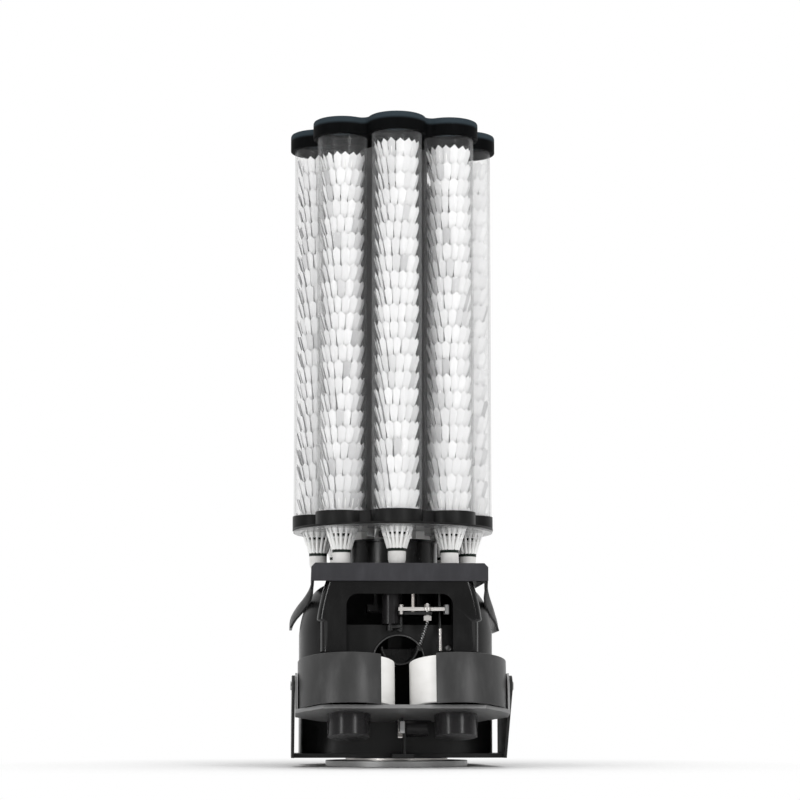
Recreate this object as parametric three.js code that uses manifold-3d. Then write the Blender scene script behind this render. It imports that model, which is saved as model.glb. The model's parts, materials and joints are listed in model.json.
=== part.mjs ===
import * as THREE from "three";
import { mergeVertices } from "three/addons/utils/BufferGeometryUtils.js";
import Module from "manifold-3d";

const wasm = await Module();
wasm.setup();

// Head of a shuttlecock launcher. Millimetres, +Z up. It launches towards -Y, which is its front.
// The origin is the middle of the underside of the flange that the stand carries.

// Driving dimensions

const gap = 0.3;
const overrun = 5;
const weld = 0.0005;

const carouselY = 100;
const pivotY = -140;
const pivotHeight = 110;
const launchPitch = THREE.MathUtils.degToRad(10);
const troughRise = 40;
const deckRise = 130;
const ringLift = 59;

const tubeCount = 8;
const pitchRadius = 109.5;
const tubeOuterRadius = 36;
const tubeWall = 2;
const tubeLength = 573.7;
const seatFloor = 4;

const ringHeight = 21.4;
const capThickness = 25.5;
const capGrip = 12;

const wheelRadius = 62;
const wheelHalfHeight = 32;
const nipGap = 20.2;

const troughPivotHeight = pivotHeight + troughRise;
const deckHeight = troughPivotHeight + deckRise;
const ringBottom = deckHeight + ringLift;
const tubeBottom = ringBottom + seatFloor + gap;
const tubeTop = tubeBottom + tubeLength;
const capBottom = tubeTop - capGrip;
const tubeInnerRadius = tubeOuterRadius - tubeWall;
const tubeStep = (2 * Math.PI) / tubeCount;
const frontAngle = -Math.PI / 2;
const dropY = carouselY - pitchRadius;

// Shapes and booleans

function solidOf(geometry) {
  const bare = new THREE.BufferGeometry();
  bare.setAttribute("position", geometry.getAttribute("position"));
  bare.setIndex(geometry.index);
  const merged = mergeVertices(bare, weld);
  const vertProperties = new Float32Array(merged.attributes.position.array);
  const triVerts = new Uint32Array(merged.index.array);
  return new wasm.Manifold(new wasm.Mesh({ numProp: 3, vertProperties, triVerts }));
}

function geometryOf(solid) {
  const mesh = solid.getMesh();
  const geometry = new THREE.BufferGeometry();
  geometry.setAttribute("position", new THREE.BufferAttribute(mesh.vertProperties, 3));
  geometry.setIndex(new THREE.BufferAttribute(mesh.triVerts, 1));
  return geometry;
}

function join(...pieces) {
  let whole = solidOf(pieces[0]);
  for (const piece of pieces.slice(1)) whole = whole.add(solidOf(piece));
  return geometryOf(whole);
}

function cut(piece, ...tools) {
  let whole = solidOf(piece);
  for (const tool of tools) whole = whole.subtract(solidOf(tool));
  return geometryOf(whole);
}

function common(piece, other) {
  return geometryOf(solidOf(piece).intersect(solidOf(other)));
}

// A profile of [radius, height] points turned about Z. It starts and ends on the axis, or closes on itself.
function turned(profile, sides) {
  const closed = profile[0][0] > 0;
  const points = profile.map(([r, z]) => new THREE.Vector2(r, z));
  if (THREE.ShapeUtils.area(points) < 0) points.reverse();
  if (closed) points.push(points[0].clone());
  const geometry = new THREE.LatheGeometry(points, sides);
  return geometry.rotateX(Math.PI / 2).rotateZ(Math.PI / 2);
}

function rod(radius, low, high, sides) {
  return turned([[0, low], [radius, low], [radius, high], [0, high]], sides);
}

function sleeve(outer, inner, low, high, sides) {
  return turned([[inner, low], [outer, low], [outer, high], [inner, high]], sides);
}

function block(lowX, highX, lowY, highY, lowZ, highZ) {
  const geometry = new THREE.BoxGeometry(highX - lowX, highY - lowY, highZ - lowZ);
  return geometry.translate((lowX + highX) / 2, (lowY + highY) / 2, (lowZ + highZ) / 2);
}

function prism(shape, depth, curveSegments) {
  return new THREE.ExtrudeGeometry(shape, { depth, bevelEnabled: false, curveSegments });
}

function upright(shape, low, high, curveSegments) {
  return prism(shape, high - low, curveSegments).translate(0, 0, low);
}

// A shape drawn in x and z, from one y to another
function alongY(shape, front, rear, curveSegments) {
  return prism(shape, rear - front, curveSegments).rotateX(Math.PI / 2).translate(0, rear, 0);
}

// A shape drawn in y and z, from one x to another
const sideways = new THREE.Matrix4().makeBasis(
  new THREE.Vector3(0, 1, 0),
  new THREE.Vector3(0, 0, 1),
  new THREE.Vector3(1, 0, 0),
);

function alongX(shape, left, right, curveSegments) {
  return prism(shape, right - left, curveSegments).applyMatrix4(sideways).translate(left, 0, 0);
}

function rodAlongX(radius, left, right, y, z, sides) {
  return rod(radius, left, right, sides).applyMatrix4(sideways).translate(0, y, z);
}

function outline(points) {
  return new THREE.Shape(points.map(([x, y]) => new THREE.Vector2(x, y)));
}

function at(radius, angle) {
  return [radius * Math.cos(angle), radius * Math.sin(angle)];
}

// Rings of points with the same count, joined into one closed body with flat convex ends
function loft(rings) {
  const count = rings[0].length;
  const positions = rings.flat(2);
  const index = [];
  for (let k = 0; k + 1 < rings.length; k++)
    for (let i = 0; i < count; i++) {
      const a = k * count + i;
      const b = k * count + ((i + 1) % count);
      index.push(a, b, b + count, a, b + count, a + count);
    }
  const last = (rings.length - 1) * count;
  for (let i = 1; i + 1 < count; i++) {
    index.push(0, i + 1, i);
    index.push(last, last + i, last + i + 1);
  }
  const geometry = new THREE.BufferGeometry();
  geometry.setAttribute("position", new THREE.Float32BufferAttribute(positions, 3));
  geometry.setIndex(index);
  return geometry;
}

// Gear outline, with a tooth at the angle phase
const addendumShare = 0.85;
const dedendumShare = 1.15;
const tipShare = 0.13;
const rootShare = 0.3;

function gearShape(teeth, module, phase) {
  const pitch = (teeth * module) / 2;
  const tip = pitch + addendumShare * module;
  const root = pitch - dedendumShare * module;
  const step = (2 * Math.PI) / teeth;
  const points = [];
  for (let i = 0; i < teeth; i++) {
    const middle = phase + i * step;
    points.push(at(root, middle - rootShare * step), at(tip, middle - tipShare * step));
    points.push(at(tip, middle + tipShare * step), at(root, middle + rootShare * step));
  }
  return outline(points);
}

// Finishes

function finish(color, roughness, metalness = 0) {
  return () => new THREE.MeshStandardMaterial({ color, roughness, metalness, flatShading: true });
}

const satinBlack = finish(0x15161a, 0.45);
const glossBlack = finish(0x0e0e11, 0.12);
const deckGrey = finish(0x3c3c40, 0.5);
const bodyGrey = finish(0x2b2b2e, 0.4);
const whitePlastic = finish(0xeeeeea, 0.45);
const featherWhite = finish(0xf6f6f4, 0.8);
const wheelWhite = finish(0xf0eeea, 0.7);
const brightSteel = finish(0xc8c6c2, 0.3, 1);
const darkSteel = finish(0x4a4a4c, 0.4, 1);
const alloy = finish(0xa9abad, 0.4, 1);
const clear = () =>
  new THREE.MeshStandardMaterial({
    color: 0xe8ecee,
    roughness: 0.05,
    metalness: 0,
    transparent: true,
    opacity: 0.3,
  });

const head = new THREE.Group();

function place(name, geometry, material, parent = head) {
  const mesh = new THREE.Mesh(geometry.index ? geometry.toNonIndexed() : geometry, material());
  mesh.geometry.computeVertexNormals();
  mesh.name = name;
  parent.add(mesh);
  return mesh;
}

// Base: the flange on the stand, its spigot, and the thrust ring that the head turns on

const flangeRadius = 100;
const flangeThickness = 8;
const flangeHoleCircle = 80;
const flangeHoleRadius = 4.3;
const flangeHoles = 4;
const spigotRadius = 20;
const bearingInner = 48;
const bearingOuter = 72;
const bearingHeight = 3.4;
const floorThickness = 6;
const flangeSides = 32;
const holeSides = 12;

const bearingBottom = flangeThickness + gap;
const floorBottom = bearingBottom + bearingHeight + gap;
const floorTop = floorBottom + floorThickness;

function baseFlange() {
  const plate = rod(flangeRadius, 0, flangeThickness, flangeSides);
  const spigot = rod(spigotRadius, 0, floorTop, flangeSides);
  const holes = [];
  for (let i = 0; i < flangeHoles; i++) {
    const [x, y] = at(flangeHoleCircle, ((i + 0.5) * 2 * Math.PI) / flangeHoles);
    const hole = rod(flangeHoleRadius, -overrun, flangeThickness + overrun, holeSides);
    holes.push(hole.translate(x, y, 0));
  }
  return cut(join(plate, spigot), ...holes);
}

place("base_flange", baseFlange(), darkSteel);
place(
  "yaw_bearing",
  sleeve(bearingOuter, bearingInner, bearingBottom, bearingBottom + bearingHeight, flangeSides),
  brightSteel,
);

// Launcher unit, built level about its tilt axis and then pitched up

const hubRadius = 36;
const hubWall = 3.5;
const hubWebLow = 12;
const hubWebHigh = 20;
const hubBore = 4.3;
const shaftRadius = 4;
const tyreRimDrop = 1.5;
const tyreRimInset = 2.5;
const guardGap = 4;
const guardWall = 3;
const guardRise = 1;
const plateDrop = 3;
const plateThickness = 5;
const plateHalfDepth = 52;
const motorRadius = 29;
const motorTop = 10;
const motorBottom = 70;
const earThickness = 3;
const earHalfWidth = 16;
const trunnionRadius = 6;
const armThickness = 4;
const trunnionProud = 2;
const wheelSides = 28;
const leftGuardOpening = THREE.MathUtils.degToRad(53);
const rightGuardOpening = THREE.MathUtils.degToRad(64);
const rearGuardOpening = THREE.MathUtils.degToRad(62);
const guardSteps = 18;

const wheelX = nipGap / 2 + wheelRadius;
const guardInner = wheelRadius + guardGap;
const guardOuter = guardInner + guardWall;
const plateTop = -(wheelHalfHeight + plateDrop);
const plateBottom = plateTop - plateThickness;
const earInner = wheelX + guardOuter + gap;
const earOuter = earInner + earThickness;
const housingClearance = 8.1;
const armInner = earOuter + gap;
const armOuter = armInner + armThickness;
const housingHalfWidth = armInner - housingClearance;

const launcher = new THREE.Group();
launcher.position.set(0, pivotY, pivotHeight);
launcher.rotation.x = -launchPitch;
head.add(launcher);

function wheelTyre(x) {
  const inner = hubRadius + gap;
  const shoulder = wheelHalfHeight - tyreRimDrop;
  const rim = wheelRadius - tyreRimInset;
  const profile = [
    [inner, -wheelHalfHeight],
    [rim, -wheelHalfHeight],
    [wheelRadius, -shoulder],
    [wheelRadius, shoulder],
    [rim, wheelHalfHeight],
    [inner, wheelHalfHeight],
  ];
  return turned(profile, wheelSides).translate(x, 0, 0);
}

function wheelHub(x) {
  const profile = [
    [hubBore, hubWebLow],
    [hubRadius - hubWall, hubWebLow],
    [hubRadius - hubWall, -wheelHalfHeight],
    [hubRadius, -wheelHalfHeight],
    [hubRadius, hubWebHigh],
    [hubBore, hubWebHigh],
  ];
  return turned(profile, wheelSides).translate(x, 0, 0);
}

function wheelMotor(x) {
  const profile = [
    [0, -motorBottom],
    [motorRadius, -motorBottom],
    [motorRadius, motorTop],
    [shaftRadius, motorTop],
    [shaftRadius, hubWebHigh + shaftRadius],
    [0, hubWebHigh + shaftRadius],
  ];
  return turned(profile, wheelSides).translate(x, 0, 0);
}

// A shell round the outer side of a wheel, open by one angle in front of the nip and one behind it
function wheelGuard(x, front, rear) {
  const side = Math.sign(x);
  const points = [];
  const from = rear;
  const to = 2 * Math.PI - front;
  for (let i = 0; i <= guardSteps; i++)
    points.push(at(guardOuter, from + ((to - from) * i) / guardSteps));
  for (let i = guardSteps; i >= 0; i--)
    points.push(at(guardInner, from + ((to - from) * i) / guardSteps));
  const placed = points.map(([u, v]) => [x - side * u, v]);
  return upright(outline(placed), plateTop + gap, wheelHalfHeight + guardRise, 1);
}

for (const [side, sign, opening] of [["left", -1, leftGuardOpening], ["right", 1, rightGuardOpening]]) {
  place(`wheel_tyre_${side}`, wheelTyre(sign * wheelX), wheelWhite, launcher);
  place(`wheel_hub_${side}`, wheelHub(sign * wheelX), bodyGrey, launcher);
  place(`wheel_motor_${side}`, wheelMotor(sign * wheelX), darkSteel, launcher);
  const guard = wheelGuard(sign * wheelX, opening, rearGuardOpening);
  place(`wheel_guard_${side}`, guard, bodyGrey, launcher);
}

// Cradle: the plate under the wheels, its ears and trunnions, and the toothed sector that tilts it

const sectorModule = 2;
const sectorTeeth = 62;
const sectorHalfThickness = 3;
const sectorWeb = 14;
const pinionTeeth = 12;
const meshAngle = THREE.MathUtils.degToRad(-50);
const sectorFrom = THREE.MathUtils.degToRad(-88);
const sectorTo = THREE.MathUtils.degToRad(-22);

const pinionShaft = 3;
const pitchMotorRadius = 12;
const pitchMotorLength = 30;
const bracketGap = 1.2;
const bracketThickness = 3.4;
const notchMargin = 5;
const notchDepth = 42;
const pinionSides = 12;

const bracketLeft = sectorHalfThickness + bracketGap;
const pitchMotorLeft = bracketLeft + bracketThickness + gap;
const pitchMotorRight = pitchMotorLeft + pitchMotorLength;
const sectorRadius = (sectorTeeth * sectorModule) / 2;
const pinionDistance = ((sectorTeeth + pinionTeeth) * sectorModule) / 2;

function toothedSector() {
  const gear = gearShape(sectorTeeth, sectorModule, meshAngle + launchPitch);
  const reach = sectorRadius + sectorModule + overrun;
  const inner = sectorRadius - sectorWeb;
  const wedge = [];
  const steps = 8;
  for (let i = 0; i <= steps; i++)
    wedge.push(at(reach, sectorFrom + ((sectorTo - sectorFrom) * i) / steps));
  for (let i = steps; i >= 0; i--)
    wedge.push(at(inner, sectorFrom + ((sectorTo - sectorFrom) * i) / steps));
  const web = common(
    alongX(gear, -sectorHalfThickness, sectorHalfThickness, 1),
    alongX(outline(wedge), -sectorHalfThickness - overrun, sectorHalfThickness + overrun, 1),
  );
  return web;
}

function cradle() {
  const halfLength = earOuter;
  const plate = block(-halfLength, halfLength, -plateHalfDepth, plateHalfDepth, plateBottom, plateTop);
  const corner = plateHalfDepth - earHalfWidth;
  const corners = [];
  for (const sign of [-1, 1]) {
    const ear = outline([
      [-earHalfWidth, plateBottom],
      [earHalfWidth, plateBottom],
      [earHalfWidth, 0],
      [earHalfWidth / 2, earHalfWidth],
      [-earHalfWidth / 2, earHalfWidth],
      [-earHalfWidth, 0],
    ]);
    const near = sign * earInner;
    const far = sign * earOuter;
    corners.push(alongX(ear, Math.min(near, far), Math.max(near, far), 1));
    const tip = sign * (armOuter + trunnionProud);
    corners.push(rodAlongX(trunnionRadius, Math.min(near, tip), Math.max(near, tip), 0, 0, holeSides));
  }
  const body = join(plate, ...corners);
  const cuts = [];
  for (const sign of [-1, 1]) {
    const hole = rod(motorRadius + gap, plateBottom - overrun, plateTop + overrun, wheelSides);
    cuts.push(hole.translate(sign * wheelX, 0, 0));
    for (const end of [-1, 1]) {
      const tip = [sign * (halfLength + overrun), end * (plateHalfDepth + overrun)];
      const wedge = outline([
        tip,
        [sign * (halfLength - corner), end * (plateHalfDepth + overrun)],
        [sign * (halfLength - corner), end * plateHalfDepth],
        [sign * (halfLength), end * earHalfWidth],
        [sign * (halfLength + overrun), end * earHalfWidth],
      ]);
      cuts.push(upright(wedge, plateBottom - overrun, plateTop + overrun, 1));
    }
  }
  cuts.push(
    block(
      -sectorHalfThickness - notchMargin,
      pitchMotorRight + notchMargin,
      notchDepth,
      plateHalfDepth + overrun,
      plateBottom - overrun,
      plateTop + overrun,
    ),
  );
  return join(cut(body, ...cuts), toothedSector());
}

place("cradle", cradle(), alloy, launcher);

// Tilt drive: a pinion in mesh with the sector, on a gearmotor that the chassis carries

const pinionY = pivotY + pinionDistance * Math.cos(meshAngle);
const pinionZ = pivotHeight + pinionDistance * Math.sin(meshAngle);

function pitchPinion() {
  const facing = meshAngle + Math.PI + Math.PI / pinionTeeth;
  const gear = gearShape(pinionTeeth, sectorModule, facing);
  const teeth = alongX(gear, -sectorHalfThickness, sectorHalfThickness, 1).translate(0, pinionY, pinionZ);
  const shaftEnd = pitchMotorLeft + pinionShaft;
  const shaft = rodAlongX(pinionShaft, 0, shaftEnd, pinionY, pinionZ, pinionSides);
  return join(teeth, shaft);
}

function pitchGearmotor() {
  const body = rodAlongX(pitchMotorRadius, pitchMotorLeft, pitchMotorRight, pinionY, pinionZ, flangeSides / 2);
  const mouth = rodAlongX(
    pinionShaft + gap,
    pitchMotorLeft - overrun,
    pitchMotorLeft + 2 * pinionShaft,
    pinionY,
    pinionZ,
    pinionSides,
  );
  return cut(body, mouth);
}

place("pitch_pinion", pitchPinion(), brightSteel);
place("pitch_gearmotor", pitchGearmotor(), darkSteel);

// Chassis: floor, yoke arms, posts with the crossbeam for the trough, rear wall and tilt motor bracket

const floorFront = -58;
const armEyeRadius = 14;
const armRear = 20;
const armRise = 66;
const armHeel = 72;
const postHalfSpread = 85;
const postWidth = 8;
const postFront = 40;
const postDepth = 6;
const beamHeight = 14;
const railHalf = 10;
const wallRear = 156;
const wallThickness = 5;
const wallHalfWidth = 70;
const bracketFront = 102;
const bracketHalf = 11;
const bracketRise = 8;
const troughPivotY = 32;
const earGap = 12;
const earPlate = 4;
const earRound = 6;
const eyeSteps = 12;
const earSteps = 6;
const troughPinRadius = 2;

function chassis() {
  const plan = roundedRing(housingHalfWidth, housingFront, housingRear, housingRadius, 0);
  const floor = upright(outline(plan), floorBottom, floorTop, 1);
  const pieces = [floor, block(-armOuter, armOuter, floorFront, armRear, floorBottom, floorTop)];
  for (const sign of [-1, 1]) {
    const arm = new THREE.Shape();
    arm.moveTo(armRear, floorBottom);
    arm.lineTo(-armHeel, floorBottom);
    arm.absarc(pivotY, pivotHeight, armEyeRadius, -Math.PI * 0.75, Math.PI / 2, true);
    arm.lineTo(-armHeel, pivotHeight + armEyeRadius);
    arm.lineTo(armRear, armRise);
    const near = sign * armInner;
    const far = sign * armOuter;
    pieces.push(alongX(arm, Math.min(near, far), Math.max(near, far), eyeSteps));
    const postX = sign * postHalfSpread;
    pieces.push(
      block(
        postX - postWidth / 2,
        postX + postWidth / 2,
        postFront,
        postFront + postDepth,
        floorBottom,
        deckUnderside - gap,
      ),
    );
    const ear = new THREE.Shape();
    ear.moveTo(postFront + postDepth / 2, troughPivotHeight - earRound);
    ear.lineTo(postFront + postDepth / 2, troughPivotHeight + earRound);
    ear.absarc(troughPivotY, troughPivotHeight, earRound, Math.PI / 2, -Math.PI / 2, false);
    const inside = sign * earGap;
    const outside = sign * (earGap + earPlate);
    pieces.push(alongX(ear, Math.min(inside, outside), Math.max(inside, outside), earSteps));
  }
  pieces.push(
    block(
      -postHalfSpread,
      postHalfSpread,
      postFront,
      postFront + postDepth,
      troughPivotHeight - beamHeight / 2,
      troughPivotHeight + beamHeight / 2,
    ),
  );
  pieces.push(
    block(-wallHalfWidth, wallHalfWidth, wallRear - wallThickness, wallRear, floorBottom, deckUnderside - gap),
    block(-railHalf, railHalf, postFront, postFront + postDepth, troughPivotHeight, deckUnderside - gap),
  );
  const bracketRight = bracketLeft + bracketThickness;
  const bracketRear = -bracketFront + 2 * bracketHalf;
  pieces.push(
    block(-bracketHalf, bracketRight + bracketHalf, -bracketFront, floorFront + overrun, floorBottom, floorTop),
    block(bracketLeft, bracketRight, -bracketFront, bracketRear, floorBottom, pinionZ + bracketRise),
  );
  const shaftHole = rodAlongX(pinionShaft + gap, 0, pitchMotorLeft + gap, pinionY, pinionZ, pinionSides);
  const spigotHole = rod(spigotRadius + gap, floorBottom - overrun, floorTop + overrun, flangeSides);
  const eye = rodAlongX(
    trunnionRadius + gap,
    -armOuter - overrun,
    armOuter + overrun,
    pivotY,
    pivotHeight,
    holeSides,
  );
  const pinEnd = earGap + earPlate;
  pieces.push(rodAlongX(troughPinRadius, -pinEnd, pinEnd, troughPivotY, troughPivotHeight, holeSides));
  return cut(join(...pieces), spigotHole, eye, shaftHole);
}

// Deck: an upturned tray with the front lip, chamfered along its sides, and the drop hole

const deckSetback = 14.1;
const deckFront = -90;
const deckRear = 232;
const deckThickness = 3;
const deckSkirt = 25;
const deckChamfer = 5.5;
const lipThickness = 4;
const dropHoleRadius = 36;
const axleHoleRadius = 14;
const dropSides = 24;
const deckHalfWidth = housingHalfWidth - deckSetback;
const deckUnderside = deckHeight - deckThickness;
const skirtBottom = deckHeight - deckSkirt;

function deckProfile(inset, low, high) {
  const half = deckHalfWidth - inset;
  return outline([
    [-half, low],
    [half, low],
    [half, high - deckChamfer],
    [half - deckChamfer, high],
    [-half + deckChamfer, high],
    [-half, high - deckChamfer],
  ]);
}

function deck() {
  const outside = alongY(deckProfile(0, skirtBottom, deckHeight), deckFront, deckRear, 1);
  const hollow = deckProfile(deckThickness, skirtBottom - overrun, deckUnderside);
  const inside = alongY(hollow, deckFront + lipThickness, deckRear + overrun, 1);
  const hole = rod(dropHoleRadius, skirtBottom, deckHeight + overrun, dropSides).translate(0, dropY, 0);
  const axle = rod(axleHoleRadius, skirtBottom, deckHeight + overrun, holeSides);
  const pinion = rod(axleHoleRadius, skirtBottom, deckHeight + overrun, holeSides);
  return cut(
    outside,
    inside,
    hole,
    axle.translate(0, carouselY, 0),
    pinion.translate(carouselGearSpread, carouselY, 0),
  );
}

// Side wings: flared covers whose front edge sweeps back and out from the ends of the lip

const wingSetback = 0.2;
const wingFlare = 28.5;
const wingDrop = 63.2;
const wingFront = -88;
const wingSweep = 134;
const wingRear = 150;
const wingThickness = 4;
const wingDropShares = [0, 0.17, 0.33, 0.5, 0.66, 0.83, 1];
const wingFrontOutShares = [0, 0.02, 0.05, 0.2, 0.48, 0.8, 1];
const wingRearOutShares = [0, 0.25, 0.53, 0.82, 0.97, 1, 1];
const wingSweepShares = [0, 0.14, 0.32, 0.54, 0.72, 0.87, 1];
const wingBackShares = [0, 0.1, 0.28, 0.6, 1];
const wingBulgeShares = [0, 0.5, 0.85, 1, 1];

const wingTopX = deckHalfWidth - wingSetback;

function sideWing(sign) {
  const rows = wingDropShares.length;
  const columns = wingBackShares.length;
  const top = skirtBottom - gap;
  const outer = [];
  const inner = [];
  for (let r = 0; r < rows; r++) {
    const z = top - wingDropShares[r] * wingDrop;
    const start = wingFront + wingSweepShares[r] * wingSweep;
    for (let c = 0; c < columns; c++) {
      const bulge = wingBulgeShares[c];
      const out = wingFrontOutShares[r] * (1 - bulge) + wingRearOutShares[r] * bulge;
      const x = wingTopX + out * wingFlare;
      const y = start + wingBackShares[c] * (wingRear - start);
      outer.push([sign * x, y, z]);
      inner.push([sign * (x - wingThickness), y, z]);
    }
  }
  const count = outer.length;
  const index = [];
  const quad = (a, b, c, d) => {
    if (sign > 0) index.push(a, b, c, a, c, d);
    else index.push(a, c, b, a, d, c);
  };
  for (let r = 0; r + 1 < rows; r++)
    for (let c = 0; c + 1 < columns; c++) {
      const a = r * columns + c;
      quad(a, a + columns, a + columns + 1, a + 1);
      quad(count + a, count + a + 1, count + a + columns + 1, count + a + columns);
    }
  for (let r = 0; r + 1 < rows; r++) {
    const a = r * columns;
    const b = a + columns - 1;
    quad(a, count + a, count + a + columns, a + columns);
    quad(b, b + columns, count + b + columns, count + b);
  }
  for (let c = 0; c + 1 < columns; c++) {
    const b = (rows - 1) * columns + c;
    quad(c, c + 1, count + c + 1, count + c);
    quad(b, count + b, count + b + 1, b + 1);
  }
  const geometry = new THREE.BufferGeometry();
  const positions = outer.concat(inner).flat();
  geometry.setAttribute("position", new THREE.Float32BufferAttribute(positions, 3));
  geometry.setIndex(index);
  return cut(geometry, housingLoft(gap, floorTop, housingTop + overrun));
}

// Rear housing: a lofted shell with rounded corners and shoulders that draw in under the deck

const housingFront = -56;
const housingRear = 200;
const housingRadius = 70;
const housingWall = 3;
const housingCorner = 5;
const roofDrop = 20;
const shoulderRise = 69.3;
const shoulderHeightShares = [0, 0.27, 0.52, 0.74, 0.89, 1];
const shoulderInset = 40;
const shoulderInsetShares = [0, 0.06, 0.19, 0.41, 0.66, 1];
const windowRadius = 34.5;
const windowDrop = 4;
const windowDepth = 62;
const bezelWall = 2;
const bezelDepth = 8;
const mechanismHalfWidth = 94;
const mechanismDepth = 61;
const housingTop = deckUnderside - roofDrop;
const mechanismFloor = housingTop - mechanismDepth;
const windowCentre = troughPivotHeight - windowDrop;
const windowBottom = windowCentre - windowDepth;

function roundedRing(halfWidth, front, rear, radius, z) {
  const ring = [];
  const corners = [
    [halfWidth - radius, rear - radius, 0],
    [-halfWidth + radius, rear - radius, 1],
    [-halfWidth + radius, front + radius, 2],
    [halfWidth - radius, front + radius, 3],
  ];
  for (const [x, y, quarter] of corners)
    for (let i = 0; i <= housingCorner; i++) {
      const [dx, dy] = at(radius, ((quarter + i / housingCorner) * Math.PI) / 2);
      ring.push([x + dx, y + dy, z]);
    }
  return ring;
}

function housingLoft(grow, low, high) {
  const rings = [];
  const shoulderLow = housingTop - shoulderRise;
  const levels = [[low, 0]];
  shoulderHeightShares.forEach((share, i) => {
    levels.push([shoulderLow + share * shoulderRise, shoulderInsetShares[i] * shoulderInset]);
  });
  levels.push([high, shoulderInset]);
  for (const [z, inset] of levels) {
    const shift = inset - grow;
    const ring = roundedRing(
      housingHalfWidth - shift,
      housingFront + shift,
      housingRear - shift,
      housingRadius - shift,
      z,
    );
    rings.push(ring);
  }
  return loft(rings);
}

function windowShape(radius, low) {
  const shape = new THREE.Shape();
  shape.moveTo(-radius, low);
  shape.lineTo(radius, low);
  shape.absarc(0, windowCentre, radius, 0, Math.PI, false);
  return shape;
}

function rearHousing() {
  const outside = housingLoft(0, floorTop + gap, housingTop + overrun);
  const hollow = housingLoft(-housingWall, floorTop - overrun, housingTop + 2 * overrun);
  const above = block(
    -housingHalfWidth,
    housingHalfWidth,
    housingFront,
    housingRear,
    housingTop,
    housingTop + 2 * overrun,
  );
  const window = alongY(
    windowShape(windowRadius + bezelWall + gap, windowBottom),
    housingFront - overrun,
    housingFront + shoulderInset,
    dropSides / 2,
  );
  const mechanism = block(
    -mechanismHalfWidth,
    mechanismHalfWidth,
    housingFront - overrun,
    housingFront + housingRadius - overrun,
    mechanismFloor,
    housingTop + overrun,
  );
  return cut(outside, hollow, above, window, mechanism);
}

function feedBezel() {
  const outer = windowShape(windowRadius + bezelWall, windowBottom + gap);
  const inner = windowShape(windowRadius, windowBottom - overrun);
  const rim = alongY(outer, housingFront - bezelWall, housingFront - bezelWall + bezelDepth, dropSides / 2);
  const bore = alongY(inner, housingFront - bezelDepth, housingFront + bezelDepth, dropSides / 2);
  return cut(rim, bore);
}

for (const [side, sign] of [["left", -1], ["right", 1]])
  place(`side_wing_${side}`, sideWing(sign), bodyGrey);

place("rear_housing", rearHousing(), bodyGrey);
place("feed_bezel", feedBezel(), brightSteel);

// Front shell: the bell, with rounded front edges, a step round its flanks and the arch

const bellFront = -86;
const bellDrop = 118.7;
const bellWall = 3;
const bellRound = 10;
const bellRoundSteps = 3;
const bellTopHalf = 93;
const bellShoulderHalf = 101;
const bellShoulderDrop = 18.7;
const bellWaistHalf = 111;
const bellWaistDrop = 47.7;
const bellSkirtHalf = 114;
const bellStepDrop = 73.7;
const bellFootHalf = 109;
const bellFootDrop = 77.7;
const bellFlankSteps = 4;
const archHalfWidth = 73.7;
const archDrop = 39.1;
const archRadius = 16;

const bellTop = deckUnderside - gap;
const bellShoulder = bellTop - bellShoulderDrop;
const bellWaist = bellTop - bellWaistDrop;
const bellStep = bellTop - bellStepDrop;
const bellFootTop = bellTop - bellFootDrop;
const bellBottom = bellTop - bellDrop;
const archTop = bellTop - archDrop;

function bellShape(inset) {
  const shape = new THREE.Shape();
  const top = bellTop;
  const low = bellBottom - bellRound;
  shape.moveTo(-bellFootHalf + inset, low);
  shape.lineTo(bellFootHalf - inset, low);
  shape.lineTo(bellFootHalf - inset, bellFootTop);
  shape.lineTo(bellSkirtHalf - inset, bellStep);
  shape.quadraticCurveTo(bellWaistHalf - inset, bellWaist, bellShoulderHalf - inset, bellShoulder);
  shape.lineTo(bellTopHalf - inset, top);
  shape.lineTo(-bellTopHalf + inset, top);
  shape.lineTo(-bellShoulderHalf + inset, bellShoulder);
  shape.quadraticCurveTo(-bellWaistHalf + inset, bellWaist, -bellSkirtHalf + inset, bellStep);
  shape.lineTo(-bellFootHalf + inset, bellFootTop);
  return shape;
}

// The bell's outline from front to rear, with its front edge rounded
function bellBody(inset, front, rear) {
  const round = bellRound - inset;
  const geometry = new THREE.ExtrudeGeometry(bellShape(inset), {
    depth: rear - front - round,
    bevelEnabled: true,
    bevelThickness: round,
    bevelSize: round,
    bevelOffset: -round,
    bevelSegments: bellRoundSteps,
    curveSegments: bellFlankSteps,
  });
  return geometry.rotateX(Math.PI / 2).translate(0, rear, 0);
}

function archShape() {
  const shape = new THREE.Shape();
  const low = bellBottom - 2 * bellRound;
  shape.moveTo(-archHalfWidth, low);
  shape.lineTo(archHalfWidth, low);
  shape.absarc(archHalfWidth - archRadius, archTop - archRadius, archRadius, 0, Math.PI / 2, false);
  shape.absarc(-archHalfWidth + archRadius, archTop - archRadius, archRadius, Math.PI / 2, Math.PI, false);
  return shape;
}

function frontShell() {
  const rear = housingFront + housingRadius / 2;
  const outside = bellBody(0, bellFront, rear + bellRound);
  const hollow = bellBody(bellWall, bellFront + bellWall, rear + 2 * bellRound);
  const hollowUp = hollow.clone().translate(0, 0, bellRound);
  const hollowDown = hollow.clone().translate(0, 0, -2 * bellRound);
  const arch = alongY(archShape(), bellFront - overrun, bellFront + 2 * bellRound, bellFlankSteps);
  const behind = block(
    -bellSkirtHalf - overrun,
    bellSkirtHalf + overrun,
    rear,
    rear + 3 * bellRound,
    bellBottom - overrun,
    bellTop + overrun,
  );
  const below = block(
    -bellSkirtHalf,
    bellSkirtHalf,
    bellFront - overrun,
    rear + 3 * bellRound,
    bellBottom - 2 * bellRound,
    bellBottom,
  );
  const body = housingLoft(gap, floorTop, housingTop);
  return cut(outside, hollow, hollowUp, hollowDown, arch, behind, below, body);
}

place("front_shell", frontShell(), glossBlack);

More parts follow.
